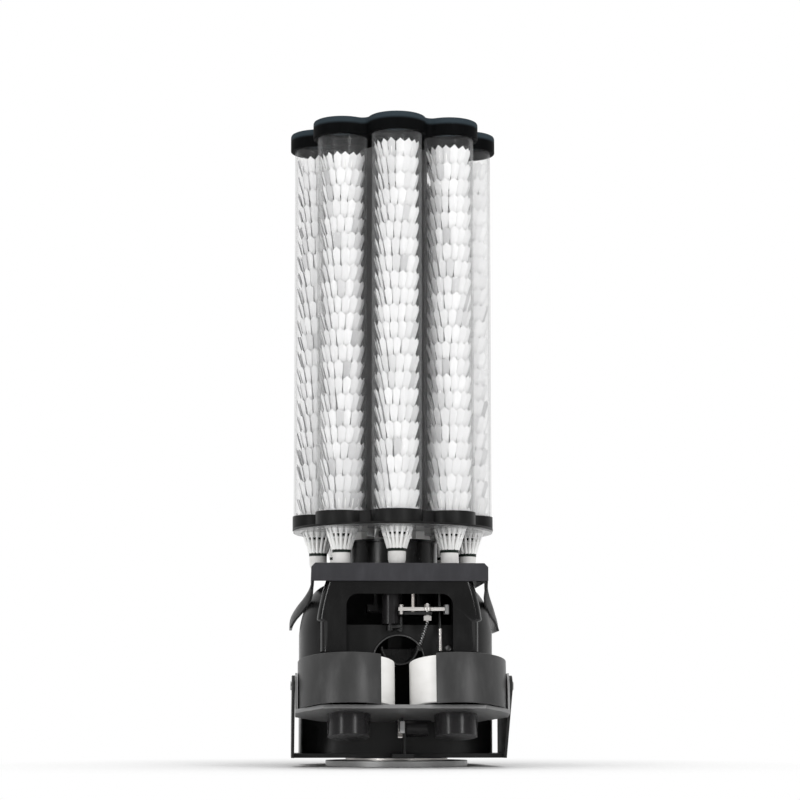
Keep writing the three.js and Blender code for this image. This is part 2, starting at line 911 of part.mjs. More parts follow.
// Feed linkage in the arch

const linkDrop = 93;
const motorX = -10;
const feedMotorY = -56;
const feedMotorRadius = 13.5;
const feedMotorBottom = 10;
const feedShaftRadius = 3;
const shaftX = -12;
const shaftY = -66;
const crankHubRadius = 6;
const crankHalf = 3.2;
const crankBottom = 0;
const crankTop = 8;
const crankPinRadius = 2;
const crankPinTop = 19;
const crankThickness = 4;
const linkY = -77;
const hangerX = 19;
const hangerRadius = 2.75;
const stayLow = 22;
const stayHigh = 25.6;
const stayLeft = 6.5;
const stayRight = 45;
const stayHalf = 3.4;
const rockerLow = 27.4;
const rockerHigh = 32.2;
const rockerHalf = 3;
const rockerLeft = -1.5;
const rockerRight = 64;
const rockerPivotX = 38.6;
const pinRadius = 2;
const nutRadius = 4;
const nutHeight = 4;
const pivotPinTop = 38;
const blockHalf = 5.3;
const blockLow = 13.5;
const blockHigh = 20.4;
const boltX = 2.3;
const boltRadius = 2.2;
const boltHeadRadius = 3.4;
const boltLow = 22.5;
const boltHigh = 36;
const knobX = 65.5;
const knobRadius = 4.6;
const knobLow = 22.5;
const knobHigh = 36;
const guideRodX = 56.5;
const guideRodRadius = 2.5;
const guideRodLow = -28;
const guideRodHigh = 3;
const guideRodStep = 12;
const nutSides = 6;
const smallSides = 12;

// Heights in the linkage count from the foot of the crank
const linkFoot = deckHeight - linkDrop;
const hangTop = deckUnderside - gap - linkFoot;

function feedGearmotor() {
  const body = rod(feedMotorRadius, feedMotorBottom, hangTop, flangeSides / 2);
  const shaft = rod(feedShaftRadius, crankBottom, feedMotorBottom + overrun, smallSides);
  return join(body.translate(motorX, feedMotorY, 0), shaft.translate(shaftX, shaftY, 0));
}

function feedCrank() {
  const reach = Math.hypot(boltX - shaftX, linkY - shaftY);
  const towards = Math.atan2(linkY - shaftY, boltX - shaftX);
  const hub = rod(crankHubRadius, crankBottom + gap, crankTop, smallSides);
  const arm = block(0, reach, -crankHalf, crankHalf, crankTop - crankThickness, crankTop);
  const end = rod(crankHalf, crankTop - crankThickness, crankTop, smallSides);
  const pin = rod(crankPinRadius, crankTop - crankThickness, crankPinTop, smallSides);
  const bore = rod(feedShaftRadius + gap, crankBottom - overrun, crankTop + overrun, smallSides);
  const whole = cut(join(hub, arm, end.translate(reach, 0, 0), pin.translate(reach, 0, 0)), bore);
  return whole.rotateZ(towards).translate(shaftX, shaftY, 0);
}

// The stay bar hangs from the deck on its rod, which passes behind the rocker
function stayBar() {
  const bar = block(stayLeft, stayRight, linkY - stayHalf, linkY + stayHalf, stayLow, stayHigh);
  const hangerY = linkY + rockerHalf + hangerRadius + gap;
  const tab = block(
    hangerX - stayHalf,
    hangerX + stayHalf,
    linkY,
    hangerY + hangerRadius,
    stayLow,
    stayHigh,
  );
  const hanger = rod(hangerRadius, stayLow, hangTop, smallSides).translate(hangerX, hangerY, 0);
  const hole = rod(pinRadius + gap, stayLow - overrun, stayHigh + overrun, smallSides);
  return cut(join(bar, tab, hanger), hole.translate(rockerPivotX, linkY, 0));
}

// The rocker carries a stud at its left end that the crank pushes
function rockerBar() {
  const bar = block(rockerLeft, rockerRight, linkY - rockerHalf, linkY + rockerHalf, rockerLow, rockerHigh);
  const hub = rod(nutRadius + crankPinRadius, rockerLow, rockerHigh, flangeSides / 2);
  const pivot = rod(pinRadius + gap, rockerLow - overrun, rockerHigh + overrun, smallSides);
  const shank = rod(boltRadius, boltLow, boltHigh, smallSides).translate(boltX, linkY, 0);
  const high = rod(boltHeadRadius, rockerHigh - gap, boltHigh, nutSides).translate(boltX, linkY, 0);
  const low = rod(boltHeadRadius, boltLow, rockerLow + gap, nutSides).translate(boltX, linkY, 0);
  return cut(
    join(bar, hub.translate(rockerPivotX, linkY, 0), shank, high, low),
    pivot.translate(rockerPivotX, linkY, 0),
  );
}

// The block under the stay bar, with the pin that stands through both bars and its nut
function pivotBlock() {
  const body = block(-blockHalf, blockHalf, -blockHalf, blockHalf, blockLow, blockHigh);
  const collar = rod(nutRadius, blockHigh - gap, stayLow - gap, nutSides);
  const pin = rod(pinRadius, blockLow - nutHeight / 2, pivotPinTop, smallSides);
  const nut = rod(nutRadius, rockerHigh + gap, rockerHigh + gap + nutHeight, nutSides);
  return join(body, collar, pin, nut).translate(rockerPivotX, linkY, 0);
}

function rockerKnob() {
  const body = rod(knobRadius, knobLow, knobHigh, nutSides);
  const slot = block(
    -knobRadius - overrun,
    rockerRight - knobX + gap,
    -rockerHalf - gap,
    rockerHalf + gap,
    rockerLow - gap,
    rockerHigh + gap,
  );
  return cut(body, slot).translate(knobX, linkY, 0);
}

// The guide rod hangs from the deck and steps forward over its lower third
function guideRod() {
  const rear = linkY + guideRodStep;
  const front = rod(guideRodRadius, guideRodLow, guideRodHigh, smallSides);
  const hanger = rod(guideRodRadius, guideRodHigh - 2 * guideRodRadius, hangTop, smallSides);
  const bridge = block(
    -guideRodRadius,
    guideRodRadius,
    linkY,
    rear,
    guideRodHigh - 2 * guideRodRadius,
    guideRodHigh,
  );
  const bar = join(front.translate(0, linkY, 0), hanger.translate(0, rear, 0), bridge);
  return bar.translate(guideRodX, 0, 0);
}

place("feed_gearmotor", feedGearmotor().translate(0, 0, linkFoot), satinBlack);
place("feed_crank", feedCrank().translate(0, 0, linkFoot), brightSteel);
place("stay_bar", stayBar().translate(0, 0, linkFoot), darkSteel);
place("rocker_bar", rockerBar().translate(0, 0, linkFoot), brightSteel);
place("pivot_block", pivotBlock().translate(0, 0, linkFoot), brightSteel);
place("rocker_knob", rockerKnob().translate(0, 0, linkFoot), brightSteel);
place("guide_rod", guideRod().translate(0, 0, linkFoot), brightSteel);

// Return spring: a wound coil that hangs slanting under the pivot block

const springLean = 10;
const springFootRise = 3.5;
const springRadius = 2;
const springWire = 0.6;
const springCurls = 9;
const springSteps = 8;
const springSides = 5;

const springTopZ = linkFoot + blockLow - nutHeight / 2 - gap / 2;
const troughRimRise = 14.6;
const troughRim = troughPivotHeight + troughRimRise;
const springDrop = springTopZ - troughRim - springFootRise;
const springSlant = springLean / Math.hypot(springLean, springDrop);

function returnSpring() {
  const axis = new THREE.Vector3(-springLean, 0, -springDrop);
  const across = new THREE.Vector3(springDrop, 0, -springLean).normalize();
  const aside = new THREE.Vector3(0, 1, 0);
  const total = springCurls * springSteps;
  const centres = [];
  for (let i = 0; i <= total; i++) {
    const turn = (2 * Math.PI * i) / springSteps;
    const point = axis.clone().multiplyScalar(i / total);
    point.addScaledVector(across, springRadius * Math.cos(turn));
    point.addScaledVector(aside, springRadius * Math.sin(turn));
    centres.push(point);
  }
  const rings = centres.map((centre, i) => {
    const before = centres[Math.max(i - 1, 0)];
    const after = centres[Math.min(i + 1, total)];
    const along = after.clone().sub(before).normalize();
    const spine = axis.clone().multiplyScalar(i / total);
    const out = centre.clone().sub(spine);
    out.addScaledVector(along, -out.dot(along)).normalize();
    const side = along.clone().cross(out);
    const ring = [];
    for (let k = 0; k < springSides; k++) {
      const [a, b] = at(springWire, (2 * Math.PI * k) / springSides);
      const point = centre.clone().addScaledVector(out, a).addScaledVector(side, b);
      ring.push(point.toArray());
    }
    return ring;
  });
  let least = Infinity;
  for (let i = 0; i <= total; i++)
    for (let j = i + springSteps / 2; j <= total; j++)
      least = Math.min(least, centres[i].distanceTo(centres[j]) - 2 * springWire);
  console.log(`return spring: least gap to itself ${least.toFixed(2)} mm`);
  return loft(rings).translate(rockerPivotX, linkY, springTopZ);
}

place("return_spring", returnSpring(), brightSteel);

// Feed trough: a half-round gutter that tips its front end down to the wheels

const troughInner = 23.6;
const troughWall = 2;
const troughFront = -90;
const troughRear = 24;
const troughSteps = 12;
const pivotBarrel = 5;
const springLug = 3;
const lugHalf = 1.2;

const springFootX = rockerPivotX - springLean;
const springFootZ = springTopZ - springDrop - springRadius * springSlant - springWire;

function feedTrough() {
  const outer = troughInner + troughWall;
  const section = new THREE.Shape();
  section.absarc(0, troughRim, outer, Math.PI, 2 * Math.PI, false);
  section.absarc(0, troughRim, troughInner, 2 * Math.PI, Math.PI, true);
  const gutter = alongY(section, troughFront, troughRear, troughSteps);
  const end = new THREE.Shape();
  end.absarc(0, troughRim, outer, Math.PI, 2 * Math.PI, false);
  const wall = alongY(end, troughRear - troughWall, troughRear, troughSteps);
  const half = earGap - gap;
  const lug = block(
    -half,
    half,
    troughRear - troughWall,
    troughPivotY,
    troughPivotHeight - pivotBarrel,
    troughPivotHeight + pivotBarrel,
  );
  const barrel = rodAlongX(pivotBarrel, -half, half, troughPivotY, troughPivotHeight, smallSides);
  const bore = rodAlongX(
    troughPinRadius + gap,
    -half - overrun,
    half + overrun,
    troughPivotY,
    troughPivotHeight,
    smallSides,
  );
  const hook = block(
    troughInner,
    springFootX + lugHalf,
    linkY - lugHalf,
    linkY + lugHalf,
    troughRim - 2 * springLug,
    springFootZ - gap,
  );
  return cut(join(gutter, wall, lug, barrel, hook), bore);
}

place("feed_trough", feedTrough(), satinBlack);
// Claws: two jaws on a carriage under the drop hole. The carriage lifts them through the hole,
// where they close on the cork of the lowest shuttle and draw it down.

const corkRadius = 13;
const clawPivotX = 31;
const clawDrop = 59;
const clawHalfWidth = 6;
const clawHub = 4.5;
const clawPin = 2;
const clawArm = 2;
const clawReach = 19.8;
const clawPadThickness = 2.6;
const clawPadHeight = 7;
const clawTravel = THREE.MathUtils.degToRad(34);
const carriageHalf = 42;
const carriageSide = 4;
const carriageHalfHeight = 5;
const carriageRear = 32;
const carriageBack = 54;
const collarHalf = 18;
const collarHalfHeight = 8;

const clawPivotZ = deckHeight - clawDrop;

function claw(sign) {
  const padX = corkRadius + 2 * gap;
  const padLow = clawPivotZ + clawReach;
  const hub = new THREE.Shape();
  hub.absarc(clawPivotX, clawPivotZ, clawHub, 0, 2 * Math.PI, false);
  const arm = outline([
    [clawPivotX + clawArm, clawPivotZ + clawArm],
    [clawPivotX - clawArm, clawPivotZ - clawArm],
    [padX, padLow],
    [padX, padLow + clawPadHeight],
    [padX + clawPadThickness, padLow + clawPadHeight],
    [padX + clawPadThickness, padLow + clawArm],
  ]);
  const closed = join(
    alongY(hub, -clawHalfWidth, clawHalfWidth, smallSides),
    alongY(arm, -clawHalfWidth, clawHalfWidth, 1),
  );
  const bore = new THREE.Shape();
  bore.absarc(clawPivotX, clawPivotZ, clawPin + gap, 0, 2 * Math.PI, false);
  const drilled = cut(closed, alongY(bore, -clawHalfWidth - overrun, clawHalfWidth + overrun, smallSides));
  drilled.translate(-clawPivotX, 0, -clawPivotZ).rotateY(clawTravel).translate(clawPivotX, 0, clawPivotZ);
  if (sign < 0) drilled.rotateZ(Math.PI);
  return drilled.translate(0, dropY, 0);
}

// The carriage runs on a rail of the chassis and reaches forward round the drop hole with two arms
function clawCarrier() {
  const low = clawPivotZ - carriageHalfHeight;
  const high = clawPivotZ + carriageHalfHeight;
  const cheekReach = clawHalfWidth + gap + carriageSide;
  const pieces = [
    block(-carriageHalf, carriageHalf, carriageRear - carriageSide, carriageRear + carriageSide, low, high),
    block(
      -collarHalf,
      collarHalf,
      carriageRear,
      carriageBack,
      clawPivotZ - collarHalfHeight,
      clawPivotZ + collarHalfHeight,
    ),
  ];
  for (const sign of [-1, 1]) {
    const outer = sign * carriageHalf;
    const inner = sign * (carriageHalf - carriageSide);
    const lowX = Math.min(outer, inner);
    const highX = Math.max(outer, inner);
    pieces.push(block(lowX, highX, dropY - cheekReach, carriageRear, low, high));
    const pin = new THREE.Shape();
    pin.absarc(sign * clawPivotX, clawPivotZ, clawPin, 0, 2 * Math.PI, false);
    pieces.push(alongY(pin, dropY - cheekReach, dropY + cheekReach, smallSides));
    const cheekX = sign * (clawPivotX - clawHub);
    for (const end of [-1, 1]) {
      const near = dropY + end * (clawHalfWidth + gap);
      const far = dropY + end * cheekReach;
      pieces.push(
        block(
          Math.min(cheekX, outer),
          Math.max(cheekX, outer),
          Math.min(near, far),
          Math.max(near, far),
          clawPivotZ - clawHub,
          clawPivotZ + clawHub,
        ),
      );
    }
  }
  const rail = block(
    -railHalf - gap,
    railHalf + gap,
    postFront - gap,
    postFront + postDepth + gap,
    clawPivotZ - 2 * collarHalfHeight,
    clawPivotZ + 2 * collarHalfHeight,
  );
  return cut(join(...pieces), rail);
}

for (const [side, sign] of [["left", -1], ["right", 1]]) place(`claw_${side}`, claw(sign), alloy);
place("claw_carrier", clawCarrier(), satinBlack);

// Carousel drive in the drum: hub with its gear, pinion and gearmotor

const drumRadius = 65;
const ringRim = 37.3;
const drumWall = 3;
const drumTopGap = 15.5;
const drumFlange = 1.5;
const drumRoof = 3.5;
const drumMouth = 24;
const discThickness = 3;
const discSetback = 0.8;
const discHole = 25.4;
const hubFlangeRadius = 21;
const hubFlangeHeight = 4;
const hubShaft = 11;
const gearModule = 2;
const driveTeeth = 30;
const carouselPinionTeeth = 12;
const gearThickness = 8;
const gearLift = 10;
const carouselMotorRadius = 18.5;
const carouselMotorLength = 62;
const carouselShaft = 3;
const glideRadius = 58.5;
const glideHalfLength = 8;
const glideHalfDepth = 5.5;
const glideCount = 4;
const glideAngle = THREE.MathUtils.degToRad(-54.5);

const carouselGearSpread = ((driveTeeth + carouselPinionTeeth) * gearModule) / 2;
const driveRadius = (driveTeeth * gearModule) / 2;
const drumTop = ringBottom - drumTopGap;
const ringFlangeRadius = pitchRadius + ringRim;
const discRadius = ringFlangeRadius - discSetback;
const discTop = ringBottom - gap;
const discBottom = discTop - discThickness;
const gearBottom = deckHeight + gearLift;

place("chassis", chassis(), alloy);
place("deck", deck(), deckGrey);

function drum() {
  const low = deckHeight + gap;
  const profile = [
    [drumRadius, low],
    [drumRadius, drumTop - drumRoof],
    [drumRadius + drumFlange, drumTop - drumRoof],
    [drumRadius + drumFlange, drumTop],
    [drumMouth, drumTop],
    [drumMouth, drumTop - drumRoof],
    [drumRadius - drumWall, drumTop - drumRoof],
    [drumRadius - drumWall, low],
  ];
  return turned(profile, flangeSides).translate(0, carouselY, 0);
}

function glideBlock(index) {
  const body = block(
    glideRadius - glideHalfDepth,
    glideRadius + glideHalfDepth,
    -glideHalfLength,
    glideHalfLength,
    drumTop + gap,
    discBottom - gap,
  );
  return body.rotateZ(glideAngle + (index * 2 * Math.PI) / glideCount).translate(0, carouselY, 0);
}

function carouselHub() {
  const profile = [
    [0, deckHeight - deckThickness],
    [hubShaft, deckHeight - deckThickness],
    [hubShaft, discBottom - gap - hubFlangeHeight],
    [hubFlangeRadius, discBottom - gap - hubFlangeHeight],
    [hubFlangeRadius, discBottom - gap],
    [0, discBottom - gap],
  ];
  const teeth = upright(gearShape(driveTeeth, gearModule, 0), gearBottom, gearBottom + gearThickness, 1);
  return join(turned(profile, flangeSides / 2), teeth).translate(0, carouselY, 0);
}

function carouselPinion() {
  const phase = Math.PI + Math.PI / carouselPinionTeeth;
  const shape = gearShape(carouselPinionTeeth, gearModule, phase);
  const teeth = upright(shape, gearBottom, gearBottom + gearThickness, 1);
  const shaft = rod(carouselShaft, deckUnderside - gearLift, gearBottom + gearThickness, smallSides);
  return join(teeth, shaft).translate(carouselGearSpread, carouselY, 0);
}

function carouselGearmotor() {
  const top = deckUnderside - gap;
  const body = rod(carouselMotorRadius, top - carouselMotorLength, top, flangeSides / 2);
  const mouth = rod(carouselShaft + gap, deckUnderside - 2 * gearLift, top + overrun, smallSides);
  return cut(body, mouth).translate(carouselGearSpread, carouselY, 0);
}

place("carousel_drum", drum(), satinBlack);
for (let i = 0; i < glideCount; i++) place(`glide_block_${i + 1}`, glideBlock(i), whitePlastic);
place("carousel_gearmotor", carouselGearmotor(), darkSteel);
place("carousel_pinion", carouselPinion(), brightSteel);
place("carousel_hub", carouselHub(), alloy);

// Carousel: ring, disc, column, tubes and cap

const ringCollarWall = 1.2;
const ringWebRadius = 118;
const ringFlangeHeight = 2.6;
const ringBoreShrink = 0.5;
const columnRadius = 42;
const columnWall = 3;
const capLobeRadius = 42.5;
const capFillet = 9;
const capBevel = 5;
const capBevelSteps = 1;
const lobeSteps = 8;
const filletSteps = 3;
const tubeSides = 16;
const discHoleSides = 12;
const rimSides = 40;

const collarRadius = tubeOuterRadius + gap + ringCollarWall;

function tubeAngle(index) {
  return frontAngle + index * tubeStep;
}

function aroundTubes(make) {
  const pieces = [];
  for (let i = 0; i < tubeCount; i++) {
    const [x, y] = at(pitchRadius, tubeAngle(i));
    pieces.push(make().translate(x, y, 0));
  }
  return pieces;
}

function bottomRing() {
  const top = ringBottom + ringHeight;
  const web = rod(ringWebRadius, ringBottom, top, flangeSides);
  const flange = rod(ringFlangeRadius, ringBottom, ringBottom + ringFlangeHeight, rimSides);
  const collars = aroundTubes(() => rod(collarRadius, ringBottom, top, tubeSides));
  const seats = aroundTubes(() => rod(tubeOuterRadius + gap, ringBottom + seatFloor, top + overrun, tubeSides));
  const bores = aroundTubes(() =>
    rod(tubeInnerRadius - ringBoreShrink, ringBottom - overrun, top + overrun, tubeSides),
  );
  const middle = rod(columnRadius - columnWall, ringBottom + seatFloor, top + overrun, tubeSides);
  return cut(join(web, flange, ...collars), ...seats, ...bores, middle).translate(0, carouselY, 0);
}

function retainingDisc() {
  const plate = rod(discRadius, discBottom, discTop, rimSides);
  const holes = aroundTubes(() => rod(discHole, discBottom - overrun, discTop + overrun, discHoleSides));
  return cut(plate, ...holes).translate(0, carouselY, 0);
}

function column() {
  const low = ringBottom + ringHeight + gap;
  const high = capBottom - gap;
  return sleeve(columnRadius, columnRadius - columnWall, low, high, tubeSides).translate(0, carouselY, 0);
}

// Round lobes over the tubes, blended by hollow fillets between them
function capShape() {
  const points = [];
  const halfStep = tubeStep / 2;
  const toMiddle = pitchRadius * Math.cos(halfStep);
  const halfSpan = pitchRadius * Math.sin(halfStep);
  const reach = Math.sqrt((capLobeRadius + capFillet) ** 2 - halfSpan ** 2);
  const filletRadius = toMiddle + reach;
  const tilt = Math.atan2(halfSpan, reach);
  const lobeHalf = halfStep + tilt;
  for (let i = 0; i < tubeCount; i++) {
    const middle = tubeAngle(i);
    const [x, y] = at(pitchRadius, middle);
    for (let k = 0; k <= lobeSteps; k++) {
      const [dx, dy] = at(capLobeRadius, middle + lobeHalf * ((2 * k) / lobeSteps - 1));
      points.push([x + dx, y + dy]);
    }
    const between = middle + halfStep;
    const [fx, fy] = at(filletRadius, between);
    for (let k = 1; k < filletSteps; k++) {
      const [dx, dy] = at(capFillet, between + Math.PI + tilt * (1 - (2 * k) / filletSteps));
      points.push([fx + dx, fy + dy]);
    }
  }
  return outline(points);
}

function topCap() {
  const geometry = new THREE.ExtrudeGeometry(capShape(), {
    depth: capThickness,
    bevelEnabled: true,
    bevelThickness: capBevel,
    bevelSize: capBevel,
    bevelOffset: -capBevel,
    bevelSegments: capBevelSteps,
  });
  const body = geometry.translate(0, 0, capBottom - capBevel);
  const top = capBottom + capThickness;
  const span = pitchRadius + capLobeRadius + overrun;
  const below = block(-span, span, -span, span, capBottom - 2 * overrun, capBottom);
  const mouths = aroundTubes(() => rod(tubeInnerRadius, capBottom - overrun, top + overrun, tubeSides));
  const seats = aroundTubes(() => rod(tubeOuterRadius + gap, capBottom - overrun, tubeTop + gap, tubeSides));
  return cut(body, below, ...mouths, ...seats).translate(0, carouselY, 0);
}

place("bottom_ring", bottomRing(), satinBlack);
place("retaining_disc", retainingDisc(), glossBlack);
place("centre_column", column(), satinBlack);
place("top_cap", topCap(), satinBlack);
aroundTubes(() => sleeve(tubeOuterRadius, tubeInnerRadius, tubeBottom, tubeTop, tubeSides)).forEach(
  (tube, i) => place(`tube_${i + 1}`, tube.translate(0, carouselY, 0), clear),
);

// Shuttlecocks: nested corks down, each stack one saw-toothed body on its lowest cork

const corkLength = 24;
const corkRound = 6;
const skirtRadius = 32.6;
const shuttleLength = 86;
const stackSides = 6;
const stackCounts = [23, 23, 23, 22, 23, 22, 23, 23];
const stackPitch = 24;
const stackPitchShares = [1, 0.996, 0.99, 1, 0.985, 1, 0.998, 0.975];
const stackTipDrop = 1;
const nestRadius = corkRadius
  + ((skirtRadius - corkRadius) * (shuttleLength - stackPitch - corkLength)) / (shuttleLength - corkLength);

function shuttleStack(index) {
  const low = deckHeight + gap;
  const profile = [
    [0, low],
    [corkRadius - corkRound, low],
    [corkRadius, low + corkRound],
    [corkRadius, low + corkLength],
  ];
  const step = stackPitch * stackPitchShares[index];
  for (let i = 0; i < stackCounts[index]; i++) {
    const tip = low + shuttleLength + i * step;
    profile.push([skirtRadius, tip - stackTipDrop], [nestRadius, tip]);
  }
  profile.push([0, profile[profile.length - 1][1]]);
  return turned(profile, stackSides);
}

for (let i = 0; i < tubeCount; i++) {
  const [x, y] = at(pitchRadius, tubeAngle(i));
  place(`shuttle_stack_${i + 1}`, shuttleStack(i).translate(x, y + carouselY, 0), featherWhite);
}

export default head;
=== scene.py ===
# %% [markdown]
# # The head of a shuttlecock launcher
#
# Eight clear magazine tubes full of feather shuttlecocks stand in a carousel. Under them are a dark
# deck, a glossy black bell with the feed linkage in its arch, and two launch wheels on a tilting cradle.
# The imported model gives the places, and this file gives the looks. Lengths in the making are in
# millimetres, because the real parts are drawn so, and each piece is scaled to metres at its end.

# %% Load the frame
import json
import math
import random

import bmesh
import bpy
from mathutils import Matrix, Vector

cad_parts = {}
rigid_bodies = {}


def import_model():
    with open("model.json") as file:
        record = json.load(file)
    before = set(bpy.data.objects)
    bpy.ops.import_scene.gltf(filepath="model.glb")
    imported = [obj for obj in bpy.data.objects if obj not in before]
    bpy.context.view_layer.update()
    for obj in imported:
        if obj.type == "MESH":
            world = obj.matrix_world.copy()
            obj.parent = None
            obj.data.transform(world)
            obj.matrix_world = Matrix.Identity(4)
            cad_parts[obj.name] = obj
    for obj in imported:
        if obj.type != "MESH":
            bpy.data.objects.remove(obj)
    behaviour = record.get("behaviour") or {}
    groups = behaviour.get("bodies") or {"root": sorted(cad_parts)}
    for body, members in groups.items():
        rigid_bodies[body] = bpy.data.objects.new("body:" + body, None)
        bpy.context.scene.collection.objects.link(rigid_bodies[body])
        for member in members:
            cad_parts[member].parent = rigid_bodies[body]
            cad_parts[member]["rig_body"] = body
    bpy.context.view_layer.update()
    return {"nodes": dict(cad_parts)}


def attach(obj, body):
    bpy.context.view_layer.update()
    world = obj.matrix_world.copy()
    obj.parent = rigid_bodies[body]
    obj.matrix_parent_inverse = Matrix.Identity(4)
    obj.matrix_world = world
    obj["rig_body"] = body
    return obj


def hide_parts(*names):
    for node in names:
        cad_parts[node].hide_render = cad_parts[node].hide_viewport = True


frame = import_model()
cad_nodes = frame["nodes"]
scene = bpy.context.scene
MM = 0.001
FULL = 2 * math.pi

# %% [markdown]
# ## Camera
#
# A product photo is taken from far away with a long lens. The eye is low, near the floor, and 3 degrees to
# the left of the middle. Upright lines stay nearly upright in the photo, which means that the lens looked
# up only a little and that the rest of the height was gained by shifting it upwards.

# %% Camera
LENS_TILT = 6
camera_data = bpy.data.cameras.new("product_lens")
camera_data.sensor_width = 36
camera_data.lens = 101.5
camera_data.shift_x = 0.009
camera_data.shift_y = 0.101
camera_data.clip_end = 60
camera = bpy.data.objects.new("product_camera", camera_data)
scene.collection.objects.link(camera)
camera.location = (-0.1727, -3.1955, 0.067)
camera.rotation_euler = (math.radians(90 + LENS_TILT), 0, math.radians(-3))
scene.camera = camera
scene.view_settings.view_transform = "Standard"
scene.cycles.transparent_max_bounces = 32
print("camera", [round(v, 3) for v in camera.location])

# %% [markdown]
# ## Shader sums as Python
#
# A node tree is a formula. One small class wraps an output socket and turns +, -, * and / into Math
# nodes, so that a pattern reads like a formula too. One method makes every other node: it sets the
# settings first and the sockets after them, because some sockets exist only once a setting is made.


# %% A socket that can be calculated with
class Signal:
    def __init__(self, tree, socket):
        self.tree = tree
        self.socket = socket

    def sum(self, operation, other, swapped=False):
        node = self.tree.nodes.new("ShaderNodeMath")
        node.operation = operation
        pair = (other, self) if swapped else (self, other)
        for entry, value in zip(node.inputs, pair):
            if isinstance(value, Signal):
                self.tree.links.new(value.socket, entry)
            else:
                entry.default_value = value
        return Signal(self.tree, node.outputs[0])

    def __add__(self, other):
        return self.sum("ADD", other)

    def __radd__(self, other):
        return self.sum("ADD", other, True)

    def __sub__(self, other):
        return self.sum("SUBTRACT", other)

    def __rsub__(self, other):
        return self.sum("SUBTRACT", other, True)

    def __mul__(self, other):
        return self.sum("MULTIPLY", other)

    def __rmul__(self, other):
        return self.sum("MULTIPLY", other, True)

    def __truediv__(self, other):
        return self.sum("DIVIDE", other)

    def __pow__(self, other):
        return self.sum("POWER", other)

    def above(self, other):
        return self.sum("GREATER_THAN", other)

    def least(self, other):
        return self.sum("MINIMUM", other)

    def most(self, other):
        return self.sum("MAXIMUM", other)


# %% One material under construction
class Finish:
    def __init__(self, name):
        self.material = bpy.data.materials.new(name)
        self.material.use_nodes = True
        self.tree = self.material.node_tree
        self.tree.nodes.clear()
        self.output = self.tree.nodes.new("ShaderNodeOutputMaterial")

    def node(self, kind, settings=None, sockets=None, out=0):
        made = self.tree.nodes.new("ShaderNode" + kind)
        for key, value in (settings or {}).items():
            if key == "stops":
                ramp = made.color_ramp
                while len(ramp.elements) < len(value):
                    ramp.elements.new(0.5)
                for element, (place, colour) in zip(ramp.elements, value):
                    element.position = place
                    element.color = colour
            else:
                setattr(made, key, value)
        for key, value in (sockets or {}).items():
            entry = made.inputs[key]
            if isinstance(value, Signal):
                self.tree.links.new(value.socket, entry)
            else:
                entry.default_value = value
        return Signal(self.tree, made.outputs[out])

    def place(self, stretch=(1, 1, 1)):
        here = self.node("TexCoord", out="Object")
        return self.node("Mapping", {}, {"Vector": here, "Scale": stretch})

    def noise(self, scale, detail=3, stretch=(1, 1, 1), roughness=0.55):
        sockets = {"Vector": self.place(stretch), "Scale": scale, "Detail": detail, "Roughness": roughness}
        return self.node("TexNoise", {}, sockets, "Fac")

    def blend(self, factor, first, second):
        settings = {"data_type": "RGBA", "clamp_factor": True}
        return self.node("Mix", settings, {0: factor, 6: first, 7: second}, 2)

    def bump(self, height, strength, distance, normal=None):
        sockets = {"Height": height, "Strength": strength, "Distance": distance}
        if normal:
            sockets["Normal"] = normal
        return self.node("Bump", {}, sockets)

    def surface(self, sockets):
        shader = self.node("BsdfPrincipled", {}, sockets, "BSDF")
        self.tree.links.new(shader.socket, self.output.inputs["Surface"])
        return self.material


def grey(level, tint=(1, 1, 1)):
    return (level * tint[0], level * tint[1], level * tint[2], 1)


# %% [markdown]
# ## Plastics
#
# Moulded plastic is never one flat colour. Three things vary: a fine grain that the mould leaves, broad
# patches where the gloss differs a little, and dust that settles as a paler veil. All plastics here
# share one recipe, and differ in how strong each of the three is.


# %% Plastic recipe
def plastic(name, level, rough, grain=0.25, grain_scale=1400, tint=(1, 1, 1), dust=0.03, coat=0.0, specular=0.5,
            painted_highlight_band=None):
    finish = Finish(name)
    patches = finish.noise(18, 4)
    specks = finish.noise(grain_scale, 2)
    veil = finish.noise(70, 6, (1, 1, 0.35)) ** 3
    lighter = grey(min(1, level * 1.35 + dust), tint)
    colour = finish.blend(veil * 1.6 + patches * 0.25, grey(level, tint), lighter)
    # Optional painted highlight: a band of tinted colour between two heights of the piece.
    if painted_highlight_band:
        low, high, highlight_hue = painted_highlight_band
        height = finish.node("SeparateXYZ", {}, {0: finish.node("TexCoord", out="Object")}, "Z")
        share = ((height - low) / (high - low)).most(0).least(1)
        colour = finish.blend(share * (patches * 0.4 + 0.7), colour, grey(1, highlight_hue))
    roughness = (patches - 0.5) * 0.22 + veil * 0.35 + rough
    normal = finish.bump(specks, grain, 0.0002)
    return finish.surface({
        "Base Color": colour,
        "Roughness": roughness,
        "Normal": normal,
        "Coat Weight": coat,
        "Coat Roughness": 0.06,
        "Specular IOR Level": specular,
    })


# The cap's bluish chamfer line is a painted highlight band, a tinted colour at the chamfer's height.
cap_black = plastic("cap_black", 0.002, 0.55, 0.12, 900, (0.9, 1, 1.1), 0.002, specular=0.03,
                    painted_highlight_band=(0.9195, 0.9235, (0.032, 0.044, 0.053)))
ring_black = plastic("ring_black", 0.005, 0.38, 0.15, 900, dust=0.009, specular=0.15)
